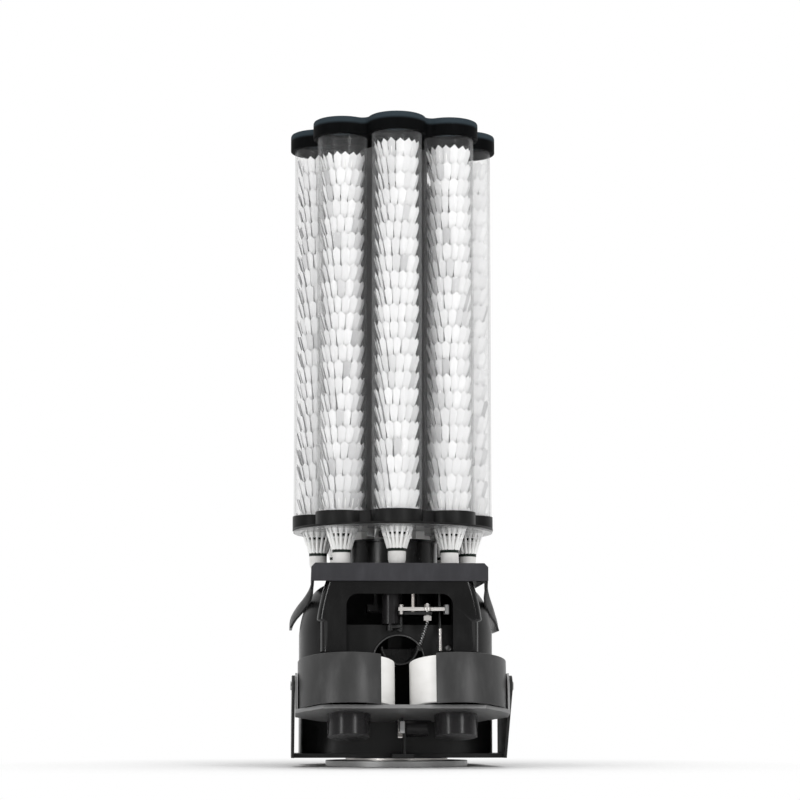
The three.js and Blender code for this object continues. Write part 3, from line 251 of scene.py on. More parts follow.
# Painted light: the column is drawn mid grey so that the shaded gaps between the tubes come out lighter.
column_painted_light_grey = plastic("column_painted_light_grey", 0.16, 0.42, 0.1, dust=0.03, specular=0.2)
drum_black = plastic("drum_black", 0.003, 0.2, 0.08, dust=0.004, specular=0.3)
bell_black = plastic("bell_black", 0.003, 0.13, 0.03, 500, dust=0.003, specular=0.4)
deck_grey = plastic("deck_grey", 0.029, 0.5, 0.5, 1100, (0.97, 0.96, 1.07), 0.014, specular=0.15)
body_black = plastic("body_black", 0.008, 0.3, 0.3, 1200, dust=0.008, specular=0.25)
wing_black = plastic("wing_black", 0.012, 0.36, 0.35, 1200, dust=0.014, specular=0.25)
guard_black = plastic("guard_black", 0.03, 0.32, 0.3, 1200, dust=0.018, specular=0.3)
feed_black = plastic("feed_black", 0.014, 0.22, 0.15, dust=0.014, specular=0.45)
block_white = plastic("block_white", 0.85, 0.4, 0.12, tint=(1, 0.99, 0.97), dust=0.04)
hub_black = plastic("hub_black", 0.015, 0.38, 0.2, dust=0.015, specular=0.3)
print("plastics", len(bpy.data.materials))

# %% [markdown]
# ## Metals
#
# Turned and drawn steel shows the direction in which it was worked: very fine lines round a rod or along
# a bar. The lines are a noise stretched along one axis. They change the roughness more than the colour.


# %% Metal recipe
def metal(name, level, rough, stretch=(1, 1, 30), tint=(1, 1, 1), lines=0.3, painted=False):
    finish = Finish(name)
    streaks = finish.noise(260, 2, stretch)
    stains = finish.noise(45, 5)
    worn = grey(min(1, level * 0.72), tint)
    colour = finish.blend((stains ** 2) * 1.3, grey(level, tint), worn)
    roughness = (streaks - 0.5) * lines + (stains - 0.5) * 0.15 + rough
    return finish.surface({
        "Base Color": colour,
        "Roughness": roughness,
        "Metallic": 0.0 if painted else 1.0,
        "Specular IOR Level": 0.25 if painted else 0.5,
        "Normal": finish.bump(streaks, 0.12, 0.0001),
    })


bright_steel = metal("bright_steel", 0.8, 0.34, tint=(1, 0.965, 0.93))
bar_steel = metal("bar_steel", 0.84, 0.4, (30, 1, 1), tint=(1, 0.965, 0.93))
rim_steel = metal("rim_steel", 0.16, 0.3)
hanger_steel = metal("hanger_steel", 0.62, 0.42, tint=(1, 0.93, 0.87))
# Near-black steel: the feed crank's colour, and painted shade on the unlit parts of the stay bar and guide rod.
dark_steel_and_painted_shade = metal("dark_steel_and_painted_shade", 0.05, 0.42, (30, 1, 1))
alloy = metal("alloy", 0.4, 0.4, (1, 30, 1))
knob_steel = metal("knob_steel", 0.35, 0.42)
motor_black = metal("motor_black", 0.016, 0.24, (1, 1, 30), tint=(1, 0.96, 1), painted=True)
claw_black = metal("claw_black", 0.012, 0.4, (8, 8, 8), painted=True)
chassis_black = metal("chassis_black", 0.02, 0.42, (8, 8, 8), painted=True)
spring_steel = metal("spring_steel", 0.75, 0.34, (30, 30, 30))
print("metals", len(bpy.data.materials))

# %% [markdown]
# ## Clear tube
#
# A thin clear wall is nearly invisible face on and shows at its edges, where the eye looks along more of
# it. Glass with real refraction would leave the feathers inside in shadow, so the wall is drawn by its
# alpha instead: a little haze face on, and towards the edges a painted reflection, an opaque grey that stands in
# for the dark surroundings mirrored there, under a real bright reflection.


# %% Clear tube
def clear_plastic():
    finish = Finish("clear_tube")
    edge = finish.node("LayerWeight", {}, {"Blend": 0.5}, "Facing")
    scuffs = finish.noise(30, 6, (1, 1, 0.08)) ** 3
    # Painted reflection: the grey colour turns opaque towards the edges, in place of the mirrored dark
    # surroundings.
    alpha = edge ** 4 * 0.55 + scuffs * 0.1 + 0.03
    return finish.surface({
        "Base Color": grey(0.36, (0.98, 0.99, 1)),
        "Roughness": scuffs * 0.2 + 0.06,
        "Alpha": alpha.least(1),
        "IOR": 1.5,
        "Specular IOR Level": 0.8,
    })


clear_tube = clear_plastic()


# %% Clear disc
def clear_sheet():
    finish = Finish("clear_sheet")
    slant = finish.node("Fresnel", {}, {"IOR": 1.35}, "Fac")
    scuffs = finish.noise(40, 5) ** 3
    return finish.surface({
        "Base Color": grey(0.75),
        "Roughness": scuffs * 0.1 + 0.04,
        # Painted reflection: the pale grey grows opaque at a low angle, in place of the mirrored white room.
        "Alpha": (slant * 0.95 + scuffs * 0.08).least(1),
        "Specular IOR Level": 0.5,
    })


clear_disc = clear_sheet()

# %% [markdown]
# ## Shuttlecock finishes
#
# Goose feathers are matt and a little different from each other, and their barbs run slantwise from the
# quill. Each vane carries its own shade in an attribute and its barbs in the UV map. The cork is covered
# with pale kid leather and ends in a dark band, over which the quills go in.


# %% Feather, quill, cork, band and thread
def feather_finish():
    finish = Finish("feather")
    shade = finish.node("Attribute", {"attribute_name": "shade"}, {}, "Fac")
    map_uv = finish.node("UVMap")
    slant = finish.node("Mapping", {}, {"Vector": map_uv, "Rotation": (0, 0, 0.7), "Scale": (1, 1, 1)})
    barbs = finish.node("TexWave", {}, {"Vector": slant, "Scale": 9, "Distortion": 1.5, "Detail": 2}, "Fac")
    colour = finish.blend(shade, grey(0.97), grey(0.5, (1, 1, 1.01)))
    colour = finish.blend(barbs * 0.07, colour, grey(0.6))
    return finish.surface({
        "Base Color": colour,
        "Roughness": barbs * 0.1 + 0.55,
        "Normal": finish.bump(barbs, 0.25, 0.0002),
        "Sheen Weight": 0.15,
    })


def cork_finish():
    finish = Finish("kid_leather")
    pores = finish.noise(900, 4)
    marks = finish.noise(60, 5)
    colour = finish.blend(marks ** 2, grey(0.86, (1, 0.99, 0.97)), grey(0.55, (1, 0.98, 0.95)))
    return finish.surface({
        "Base Color": colour,
        "Roughness": pores * 0.2 + 0.42,
        "Normal": finish.bump(pores, 0.3, 0.0002),
    })


feather_white = feather_finish()
kid_leather = cork_finish()
quill_white = plastic("quill_white", 0.94, 0.4, 0.05, tint=(1, 1, 0.985), dust=0.02)
band_green = plastic("band_green", 0.012, 0.5, 0.2, tint=(0.7, 1.2, 0.9), dust=0.006, specular=0.2)
thread_white = plastic("thread_white", 0.88, 0.6, 0.4, 3000, dust=0.02)


# %% Wheel foam
def foam_finish():
    finish = Finish("wheel_foam")
    cells = finish.noise(700, 5)
    marks = finish.noise(22, 6, (1, 1, 3)) ** 2
    colour = finish.blend(marks * 0.8, grey(0.84, (1, 0.99, 0.97)), grey(0.62, (1, 0.98, 0.94)))
    return finish.surface({
        "Base Color": colour,
        "Roughness": cells * 0.2 + 0.6,
        "Normal": finish.bump(cells, 0.35, 0.0004),
    })


wheel_foam = foam_finish()
print("finishes", len(bpy.data.materials))

# %% [markdown]
# ## A small workshop
#
# Nearly every piece is turned, drawn and pushed out, or a block. These helpers do those three jobs with
# bmesh operators, and one more ends each piece the same way: doubles merged, faces outwards, scaled to
# metres, shaded smooth up to an angle, riding on its body and standing for its CAD nodes.


# %% Ending a piece
def finished(bm, name, material, body, stands_for=(), edge=0.0, segments=2, smooth=32):
    bmesh.ops.remove_doubles(bm, verts=bm.verts, dist=0.003)
    bmesh.ops.recalc_face_normals(bm, faces=bm.faces)
    bmesh.ops.scale(bm, vec=(MM, MM, MM), verts=bm.verts)
    mesh = bpy.data.meshes.new(name)
    bm.to_mesh(mesh)
    bm.free()
    mesh.materials.append(material)
    mesh.shade_smooth()
    mesh.set_sharp_from_angle(angle=math.radians(smooth))
    piece = bpy.data.objects.new(name, mesh)
    scene.collection.objects.link(piece)
    if edge:
        round_edges(piece, edge, segments)
    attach(piece, body)
    if stands_for:
        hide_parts(*stands_for)
    return piece


def round_edges(piece, width, segments=2, angle=35):
    bevel = piece.modifiers.new("soft_edges", "BEVEL")
    bevel.width = width * MM
    bevel.segments = segments
    bevel.limit_method = "ANGLE"
    bevel.angle_limit = math.radians(angle)
    bevel.harden_normals = True
    return bevel


# %% Turning, drawing and blocks
def turn_profile(bm, profile, steps=64, angle=FULL, closed=True):
    verts = [bm.verts.new((r, 0, z)) for r, z in profile]
    edges = [bm.edges.new(pair) for pair in zip(verts, verts[1:])]
    if closed and profile[0][0] > 0:
        edges.append(bm.edges.new((verts[-1], verts[0])))
    whole = abs(angle - FULL) < 1e-6
    made = bmesh.ops.spin(bm, geom=verts + edges, cent=(0, 0, 0), axis=(0, 0, 1), angle=angle,
                          steps=steps, use_merge=whole)
    bmesh.ops.remove_doubles(bm, verts=bm.verts, dist=0.003)
    return made


def turned(profile, steps=64, centre=(0, 0), angle=FULL, closed=True):
    bm = bmesh.new()
    turn_profile(bm, profile, steps, angle, closed)
    bmesh.ops.translate(bm, vec=(centre[0], centre[1], 0), verts=bm.verts)
    return bm


def drawn(points, low, high):
    bm = bmesh.new()
    face = bm.faces.new([bm.verts.new((x, y, low)) for x, y in points])
    grown = bmesh.ops.extrude_face_region(bm, geom=[face])
    top = [v for v in grown["geom"] if isinstance(v, bmesh.types.BMVert)]
    bmesh.ops.translate(bm, vec=(0, 0, high - low), verts=top)
    return bm


def block(low, high):
    bm = bmesh.new()
    bmesh.ops.create_cube(bm, size=1)
    size = [b - a for a, b in zip(low, high)]
    bmesh.ops.scale(bm, vec=size, verts=bm.verts)
    bmesh.ops.translate(bm, vec=[(a + b) / 2 for a, b in zip(low, high)], verts=bm.verts)
    return bm


def joined(*parts):
    bm = parts[0]
    for part in parts[1:]:
        mesh = bpy.data.meshes.new("part")
        part.to_mesh(mesh)
        part.free()
        bm.from_mesh(mesh)
        bpy.data.meshes.remove(mesh)
    return bm


# %% Boolean cuts, made final at once
def cut_away(piece, cutter_bm):
    bmesh.ops.scale(cutter_bm, vec=(MM, MM, MM), verts=cutter_bm.verts)
    bmesh.ops.recalc_face_normals(cutter_bm, faces=cutter_bm.faces)
    mesh = bpy.data.meshes.new("cutter")
    cutter_bm.to_mesh(mesh)
    cutter_bm.free()
    cutter = bpy.data.objects.new("cutter", mesh)
    scene.collection.objects.link(cutter)
    boolean = piece.modifiers.new("opening", "BOOLEAN")
    boolean.operation = "DIFFERENCE"
    boolean.solver = "EXACT"
    boolean.object = cutter
    bpy.context.view_layer.update()
    shaped = piece.evaluated_get(bpy.context.evaluated_depsgraph_get())
    result = bpy.data.meshes.new_from_object(shaped)
    piece.modifiers.clear()
    piece.data = result
    bpy.data.objects.remove(cutter)
    if not result.polygons:
        raise ValueError(piece.name + " was cut away altogether")
    result.shade_smooth()
    result.set_sharp_from_angle(angle=math.radians(32))
    return piece


# %% [markdown]
# ## Copies of CAD nodes
#
# A bracket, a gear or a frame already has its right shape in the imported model, but with knife-sharp
# edges. Its copy is merged into one skin, its flat facets are joined, and a bevel modifier breaks the
# edges, because a real edge always catches a thin line of light.


# %% Softened copies
def softened(node, material, edge=0.5, segments=2, name=None, smooth=32, reshape=None):
    bm = bmesh.new()
    bm.from_mesh(cad_nodes[node].data)
    bmesh.ops.scale(bm, vec=(1 / MM, 1 / MM, 1 / MM), verts=bm.verts)
    bmesh.ops.remove_doubles(bm, verts=bm.verts, dist=0.003)
    bmesh.ops.dissolve_limit(bm, angle_limit=math.radians(1), use_dissolve_boundaries=False,
                             verts=bm.verts, edges=bm.edges)
    if reshape:
        for vert in bm.verts:
            vert.co = reshape(vert.co)
    body = cad_nodes[node]["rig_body"]
    return finished(bm, name or f"{node}_dressed", material, body, [node], edge, segments, smooth)


# %% [markdown]
# ## Places that the pieces share
#
# The same driving dimensions as in the part's source. The carousel axis lies behind the yaw axis, and
# eight tubes stand round it, the first one in front.

# %% Shared dimensions
CAROUSEL_Y = 100
TUBES = 8
PITCH_RADIUS = 109.5
DECK = 280
RING_LOW = 339
RING_HIGH = 360.4
TUBE_LOW = 343.3
TUBE_HIGH = 917
CAP_LOW = 905
CAP_HIGH = 930.5
STEP = FULL / TUBES


def tube_angle(index):
    return -math.pi / 2 + index * STEP


def tube_centre(index):
    angle = tube_angle(index)
    return (PITCH_RADIUS * math.cos(angle), CAROUSEL_Y + PITCH_RADIUS * math.sin(angle))


# %% [markdown]
# ## Scalloped outline
#
# The cap and the ring share one idea: eight round lobes, one over each tube, with a second arc between
# neighbours. One lobe and one linking arc are drawn by spinning a single point, then the pair is repeated
# seven times round the carousel axis and closed into a face.


# %% Scalloped plate
def scalloped(lobe, link_centre, link_radius, low, high, lobe_steps=28, link_steps=8):
    half = STEP / 2
    if link_centre:
        reach = link_centre - PITCH_RADIUS * math.cos(half)
        tilt = math.atan2(PITCH_RADIUS * math.sin(half), reach)
        lobe_half = half + tilt
        link_turn = -2 * tilt
    else:
        share = (PITCH_RADIUS ** 2 + link_radius ** 2 - lobe ** 2) / (2 * PITCH_RADIUS * link_radius)
        seen = math.acos(share)
        across = link_radius * math.sin(seen)
        along = link_radius * math.cos(seen) - PITCH_RADIUS
        lobe_half = math.atan2(across, along)
        link_turn = 2 * (half - seen)
    bm = bmesh.new()
    middle = tube_angle(0)
    centre = Vector((PITCH_RADIUS * math.cos(middle), PITCH_RADIUS * math.sin(middle), low))
    start = middle - lobe_half
    first = bm.verts.new(centre + Vector((lobe * math.cos(start), lobe * math.sin(start), 0)))
    arc = bmesh.ops.spin(bm, geom=[first], cent=centre, axis=(0, 0, 1), angle=2 * lobe_half, steps=lobe_steps)
    last = [g for g in arc["geom_last"] if isinstance(g, bmesh.types.BMVert)]
    between = middle + half
    hinge = Vector((link_centre * math.cos(between), link_centre * math.sin(between), low))
    bmesh.ops.spin(bm, geom=last, cent=hinge, axis=(0, 0, 1), angle=link_turn, steps=link_steps)
    whole = bm.verts[:] + bm.edges[:]
    bmesh.ops.spin(bm, geom=whole, cent=(0, 0, 0), axis=(0, 0, 1), angle=FULL - STEP, steps=TUBES - 1,
                   use_duplicate=True)
    bmesh.ops.remove_doubles(bm, verts=bm.verts, dist=0.02)
    bmesh.ops.contextual_create(bm, geom=bm.edges[:])
    face = max(bm.faces, key=lambda f: f.calc_area())
    grown = bmesh.ops.extrude_face_region(bm, geom=[face])
    top = [v for v in grown["geom"] if isinstance(v, bmesh.types.BMVert)]
    bmesh.ops.translate(bm, vec=(0, 0, high - low), verts=top)
    bmesh.ops.translate(bm, vec=(0, CAROUSEL_Y, 0), verts=bm.verts)
    return bm


def rim_edges(bm, z):
    return [e for e in bm.edges if abs(e.verts[0].co.z - z) < 0.01 and abs(e.verts[1].co.z - z) < 0.01]


def wells(radius, low, high, steps=64):
    parts = []
    for index in range(TUBES):
        x, y = tube_centre(index)
        parts.append(turned([(0, low), (radius, low), (radius, high), (0, high)], steps, (x, y)))
    return joined(*parts)


# %% [markdown]
# ## Top cap
#
# The cap is one moulding with a broad chamfer round its top, where it catches the light in a bluish
# line, and a small radius below. Each lobe has a mouth, through which the tube is filled, and a wider
# seat from below, in which the tube ends. The bluish line is a painted highlight: a band of bluish colour at the
# height of the chamfer.

# %% Top cap
FILLET = 9
fillet_reach = math.sqrt((42.5 + FILLET) ** 2 - (PITCH_RADIUS * math.sin(STEP / 2)) ** 2)
FILLET_CENTRE = PITCH_RADIUS * math.cos(STEP / 2) + fillet_reach
cap_bm = scalloped(42.5, FILLET_CENTRE, FILLET, CAP_LOW, CAP_HIGH)
bmesh.ops.bevel(cap_bm, geom=rim_edges(cap_bm, CAP_HIGH), offset=4.6, affect="EDGES", segments=4, profile=0.62,
                material=-1)
bmesh.ops.bevel(cap_bm, geom=rim_edges(cap_bm, CAP_LOW), offset=1.6, affect="EDGES", segments=3, profile=0.5,
                material=-1)
cap = finished(cap_bm, "scalloped_cap", cap_black, "carousel", ["top_cap"])
cut_away(cap, wells(34.3, CAP_LOW - 5, CAP_HIGH + 5))
cut_away(cap, wells(36.25, CAP_LOW - 5, TUBE_HIGH + 0.25))


round_edges(cap, 0.7, 2, 50)
print("cap faces", len(cap.data.polygons))

# %% [markdown]
# ## Bottom ring and retaining disc
#
# The ring holds the tubes in eight collars that stand on a thin round flange. Under it, a thin clear disc
# with narrower holes stops the feathers, so that the lowest shuttlecock hangs by its skirt. Looked through,
# it is nearly invisible, and at a low angle it mirrors the white room as a pale band at both ends; that band is a
# painted reflection, a pale grey colour that turns opaque with the slant.

# %% Bottom ring
ring_bm = scalloped(37.5, 0, 118, RING_LOW, RING_HIGH, 24, 6)
bmesh.ops.bevel(ring_bm, geom=rim_edges(ring_bm, RING_HIGH), offset=0.8, affect="EDGES", segments=2, profile=0.5,
                material=-1)
ring = finished(ring_bm, "collar_ring", ring_black, "carousel", ["bottom_ring"])
cut_away(ring, wells(33.5, RING_LOW - 5, RING_HIGH + 5))
cut_away(ring, wells(36.25, RING_LOW + 4, RING_HIGH + 5))
flange_bm = turned([(38, RING_LOW), (146.5, RING_LOW), (146.8, RING_LOW + 0.5), (146.8, RING_LOW + 2.1),
                    (146.4, RING_LOW + 2.6), (38, RING_LOW + 2.6)], 160, (0, CAROUSEL_Y))
flange = finished(flange_bm, "ring_flange", ring_black, "carousel")
cut_away(flange, wells(33.5, RING_LOW - 5, RING_LOW + 8))
print("ring faces", len(ring.data.polygons))

# %% Retaining disc
disc_bm = turned([(0, 335.7), (145.5, 335.7), (146, 336.2), (146, 338.2), (145.5, 338.7), (0, 338.7)], 160,
                 (0, CAROUSEL_Y))
disc = finished(disc_bm, "clear_retaining_disc", clear_disc, "carousel", ["retaining_disc"])
cut_away(disc, wells(25.4, 330, 345))
print("disc faces", len(disc.data.polygons))

# %% [markdown]
# ## Tubes and column
#
# Each tube is a closed turned wall with softened ends, so that both rims show as rings of light. The
# column inside the circle of tubes is what makes the gaps between them dark; its colour is painted light, a mid
# grey that lifts the shade in those gaps.

# %% Tubes and column
for index in range(TUBES):
    wall = [(34, TUBE_LOW + 0.4), (34.4, TUBE_LOW), (35.6, TUBE_LOW), (36, TUBE_LOW + 0.4),
            (36, TUBE_HIGH - 0.4), (35.6, TUBE_HIGH), (34.4, TUBE_HIGH), (34, TUBE_HIGH - 0.4)]
    tube_bm = turned(wall, 72, tube_centre(index))
    finished(tube_bm, f"magazine_tube_{index + 1}", clear_tube, "carousel", [f"tube_{index + 1}"])
column_bm = turned([(48, RING_HIGH + 0.3), (51, RING_HIGH + 0.3), (51, CAP_LOW - 0.3), (48, CAP_LOW - 0.3)],
                   96, (0, CAROUSEL_Y))
finished(column_bm, "core_column", column_painted_light_grey, "carousel", ["centre_column"])
print("tubes", TUBES)

# %% [markdown]
# ## Shuttlecocks
#
# A shuttlecock has sixteen feathers, each a quill with a vane that widens towards a clipped, pointed end.
# Every vane is turned a little on its quill, so that it overlaps the next one like a slat: that is what
# gives the stacks their bright faces and thin dark slits. One vane is made from a small grid, given
# its thickness, and spun round. Then each shuttlecock gets its own turn and small differences, from a
# seeded random number so that every run gives the same stack.

# %% One shuttlecock's feathers
CORK_LONG = 24
SKIRT = 32.3
LONG = 86
VANE_TIP = 85.4
VANE_ROWS = [(49.6, 2.0), (54.2, 4.0), (62, 4.6), (71, 5.9), (80.0, 6.75), (VANE_TIP, 0.7)]
TIP_ROW = 5
VANE_REACH = 33.3


def skirt_radius(z):
    return 12.2 + (SKIRT - 12.2) * (z - CORK_LONG) / (LONG - CORK_LONG)


def add_vane(bm, turn, chance, lift):
    shade = bm.verts.layers.float["shade"]
    grid = bmesh.ops.create_grid(bm, x_segments=2, y_segments=TIP_ROW, size=1, calc_uvs=True)["verts"]
    tone = 0.02 + 0.25 * chance.random() + 0.7 * chance.random() ** 9
    twist = math.radians(13 + chance.uniform(-8, 8))
    lean = chance.uniform(-0.7, 0.6)
    narrow = chance.uniform(0.88, 1.05)
    tip = chance.uniform(-0.9, 0.4)
    slope = chance.uniform(-0.8, 0.8)
    for vert in grid:
        column = round(vert.co.x)
        row = round((vert.co.y + 1) / 2 * TIP_ROW)
        z, half = VANE_ROWS[row]
        across = column * half * narrow
        if row == TIP_ROW:
            z += tip + (slope if column else LONG - VANE_TIP)
        out = skirt_radius(min(z, LONG)) - 0.3 * abs(column) + across * math.sin(twist) * 0.8
        out += lean * (z / LONG) ** 2
        out += 1.1 * max(0, 1 - abs(z - 60) / 16)
        vert.co = Vector((min(out, VANE_REACH), across * math.cos(twist), z + lift))
        vert[shade] = tone
    faces = list({face for vert in grid for face in vert.link_faces})
    solid = bmesh.ops.solidify(bm, geom=grid + faces, thickness=0.28)
    verts = {g for g in solid["geom"] if isinstance(g, bmesh.types.BMVert)} | set(grid)
    bmesh.ops.rotate(bm, cent=(0, 0, 0), matrix=Matrix.Rotation(turn, 3, "Z"), verts=list(verts))


def add_quill(bm, turn, lift, top=74):
    low = Vector((11.8, 0, 26.2))
    high = Vector((skirt_radius(top) - 0.3, 0, top))
    quill = bmesh.ops.create_cone(bm, cap_ends=True, segments=8, radius1=2.6, radius2=1.0,
                                  depth=(high - low).length)["verts"]
    lean = (high - low).to_track_quat("Z", "X").to_matrix()
    bmesh.ops.rotate(bm, cent=(0, 0, 0), matrix=lean, verts=quill)
    bmesh.ops.translate(bm, vec=(low + high) / 2 + Vector((0, 0, lift)), verts=quill)
    bmesh.ops.rotate(bm, cent=(0, 0, 0), matrix=Matrix.Rotation(turn, 3, "Z"), verts=quill)


# %% Cork, band and threads
CORK = [(0, 0.2), (5.5, 0.6), (9.2, 2.4), (11.6, 5.6), (12.6, 9.5), (12.8, 15), (12.9, 20.8), (12.6, 21.6),
        (0, 21.6)]
BAND = [(0, 21.6), (12.9, 21.6), (13.2, 22.2), (13.2, 26), (12.6, 26.8), (0, 26.8)]


def add_turned(bm, profile, lift, steps):
    part = turned([(r, z + lift) for r, z in profile], steps)
    return joined(bm, part)


def thread_profile(z):
    r = skirt_radius(z) + 1.2
    return [(r - 0.5, z - 0.5), (r + 0.1, z - 0.5), (r + 0.25, z), (r + 0.1, z + 0.5), (r - 0.5, z + 0.5)]


# %% Eight stacks
STACK_COUNTS = [23, 23, 23, 22, 23, 22, 23, 23]
STACK_PITCH = 24
PITCH_SHARES = [1, 0.996, 0.99, 1, 0.985, 1, 0.998, 0.975]
FEATHERS = 16
chance = random.Random(5)


def place_stack(bm, index, name, material, stands_for=(), smooth=32):
    x, y = tube_centre(index)
    bmesh.ops.translate(bm, vec=(x, y, DECK + 0.3), verts=bm.verts)
    return finished(bm, name, material, "carousel", stands_for, smooth=smooth)


for index in range(TUBES):
    count = STACK_COUNTS[index]
    vanes = bmesh.new()
    vanes.verts.layers.float.new("shade")
    vanes.loops.layers.uv.new("vane")
    quills = bmesh.new()
    corks = bmesh.new()
    bands = bmesh.new()
    threads = bmesh.new()
    for level in range(count):
        lift = level * STACK_PITCH * PITCH_SHARES[index]
        start = chance.uniform(0, FULL)
        for feather in range(FEATHERS):
            turn = start + feather * FULL / FEATHERS + chance.uniform(-0.03, 0.03)
            add_vane(vanes, turn, chance, lift)
            if level < 2 or level == count - 1:
                add_quill(quills, turn, lift)
        if level < 2 or level == count - 1:
            corks = add_turned(corks, CORK, lift, 32)
            bands = add_turned(bands, BAND, lift, 32)
            for z in (41.6, 48.6):
                threads = add_turned(threads, thread_profile(z), lift, 32)
    number = index + 1
    place_stack(vanes, index, f"feathers_{number}", feather_white, [f"shuttle_stack_{number}"], 24)
    place_stack(quills, index, f"quills_{number}", quill_white)
    place_stack(corks, index, f"corks_{number}", kid_leather)
    place_stack(bands, index, f"cork_bands_{number}", band_green)
    place_stack(threads, index, f"threads_{number}", thread_white)

# %% [markdown]
# ## Drum, glide blocks and the carousel's drive
#
# The carousel turns on four white blocks that glide on the rim of a black drum. Its gears and gearmotor
# are inside, where only the gaps show them.

# %% Drum, blocks and drive
drum_bm = turned([(65, 280.3), (65, 319.6), (66.5, 320), (66.5, 323.5), (24, 323.5), (24, 320), (62, 320),
                  (62, 280.3)], 128, (0, CAROUSEL_Y))
finished(drum_bm, "carousel_drum_skin", drum_black, "head", ["carousel_drum"], 0.4)
for number in range(1, 5):
    softened(f"glide_block_{number}", block_white, 0.8, 3)
softened("carousel_hub", hub_black, 0.3)
softened("carousel_pinion", bright_steel, 0.2)
softened("carousel_gearmotor", motor_black, 0.8, 3)

# %% [markdown]
# ## Deck and wings
#
# The deck is a folded tray with chamfered sides, so its softened copy is enough. The wings that hang from
# its ends are pressed covers that flare out and sweep back. A flat grid is bent to that shape: tables give
# how far each row lies out and back, and a smooth curve through the tables fills in the rows between.

# %% Deck
def narrowed(place):
    share = 1 - 0.036 * (place.y + 90) / 322
    return Vector((place.x * share, place.y, place.z))


softened("deck", deck_grey, 0.9, 3, reshape=narrowed)


# %% Smooth curve through a table
def eased(table, place):
    place = min(max(place, 0), 1) * (len(table) - 1)
    step = min(int(place), len(table) - 2)
    t = place - step
    before, here, there, after = (table[min(max(step + k, 0), len(table) - 1)] for k in (-1, 0, 1, 2))
    rise = (there - before) / 2
    fall = (after - here) / 2
    ease = t * t * (3 - 2 * t)
    return here + (there - here) * ease + rise * t * (1 - t) ** 2 - fall * t * t * (1 - t)


# %% Wings
HALF_DECK = 122.5
WING_TOP = 254.7
WING_DROP = 63.2
WING_FLARE = 28.5
WING_FRONT, WING_SWEEP, WING_REAR = -88, 134, 150
FRONT_OUT = [0, 0.02, 0.05, 0.2, 0.48, 0.8, 1]
REAR_OUT = [0, 0.1, 0.34, 0.66, 0.9, 1, 1]
SWEEP = [0, 0.14, 0.32, 0.54, 0.72, 0.87, 1]
BACK = [0, 0.1, 0.28, 0.6, 1]
BULGE = [0, 0.5, 0.85, 1, 1]
DEPTH = [18, 26, 52, 100, 150, 190, 230]


def wing(sign, drop):
    bm = bmesh.new()
    grid = bmesh.ops.create_grid(bm, x_segments=24, y_segments=36, size=0.5)["verts"]
    for vert in grid:
        along, down = vert.co.x + 0.5, 0.5 - vert.co.y
        start = WING_FRONT + eased(SWEEP, down) * WING_SWEEP
        bulge = eased(BULGE, along)
        out = eased(FRONT_OUT, down) * (1 - bulge) + eased(REAR_OUT, down) * bulge
        x = HALF_DECK - 0.3 + min(out, 1) * WING_FLARE
        rear = min(WING_REAR, start + eased(DEPTH, down))
        vert.co = Vector((sign * x, start + eased(BACK, along) * (rear - start), WING_TOP - down * drop))
    skin = bmesh.ops.extrude_face_region(bm, geom=bm.faces[:])
    inner = [v for v in skin["geom"] if isinstance(v, bmesh.types.BMVert)]
    bmesh.ops.translate(bm, vec=(-sign * 3.8, 0, 0), verts=inner)
    return bm


# %% [markdown]
# ## Rear housing
#
# The body behind the bell is one deep moulding with broad round corners, and shoulders that draw in under
# the deck. It starts as a rectangle whose corners are rounded, is pushed up to the shoulder, and each
# inset of the top face then steps inwards and upwards, which is exactly how a shoulder curves.

# %% Housing body
HALF_BODY, BODY_FRONT, BODY_REAR, BODY_CORNER = 136.6, -56, 200, 70
BODY_LOW, SHOULDER_LOW, SHOULDER_RISE, SHOULDER_INSET = 14.3, 187.7, 69.3, 40
SHOULDER_UP = [0, 0.27, 0.52, 0.74, 0.89, 1]
SHOULDER_IN = [0, 0.06, 0.19, 0.41, 0.66, 1]


def housing_body(grow, low, steps=18, corners=14):
    bm = bmesh.new()
    bmesh.ops.create_grid(bm, x_segments=1, y_segments=1, size=0.5)
    size = (2 * (HALF_BODY + grow), BODY_REAR - BODY_FRONT + 2 * grow, 1)
    bmesh.ops.scale(bm, vec=size, verts=bm.verts)
    bmesh.ops.translate(bm, vec=(0, (BODY_FRONT + BODY_REAR) / 2, low), verts=bm.verts)
    bmesh.ops.bevel(bm, geom=bm.verts[:], offset=BODY_CORNER + grow, affect="VERTICES", segments=corners,
                    profile=0.5, material=-1)
    top = max(bm.faces, key=lambda f: f.calc_area())
    grown = bmesh.ops.extrude_face_region(bm, geom=[top])
    raised = [v for v in grown["geom"] if isinstance(v, bmesh.types.BMVert)]
    bmesh.ops.translate(bm, vec=(0, 0, SHOULDER_LOW - low), verts=raised)
    top = [f for f in grown["geom"] if isinstance(f, bmesh.types.BMFace)]
    bmesh.ops.recalc_face_normals(bm, faces=bm.faces)
    inset_done = 0
    for step in range(1, steps + 1):
        share = step / steps
        inset = eased(SHOULDER_IN, share) * SHOULDER_INSET
        rise = (eased(SHOULDER_UP, share) - eased(SHOULDER_UP, share - 1 / steps)) * SHOULDER_RISE
        bmesh.ops.inset_region(bm, faces=top, thickness=inset - inset_done, depth=0, use_even_offset=True)
        bmesh.ops.translate(bm, vec=(0, 0, rise), verts=list({v for f in top for v in f.verts}))
        inset_done = inset
    return bm, top


# %% Openings of the housing
WINDOW_CENTRE = 146


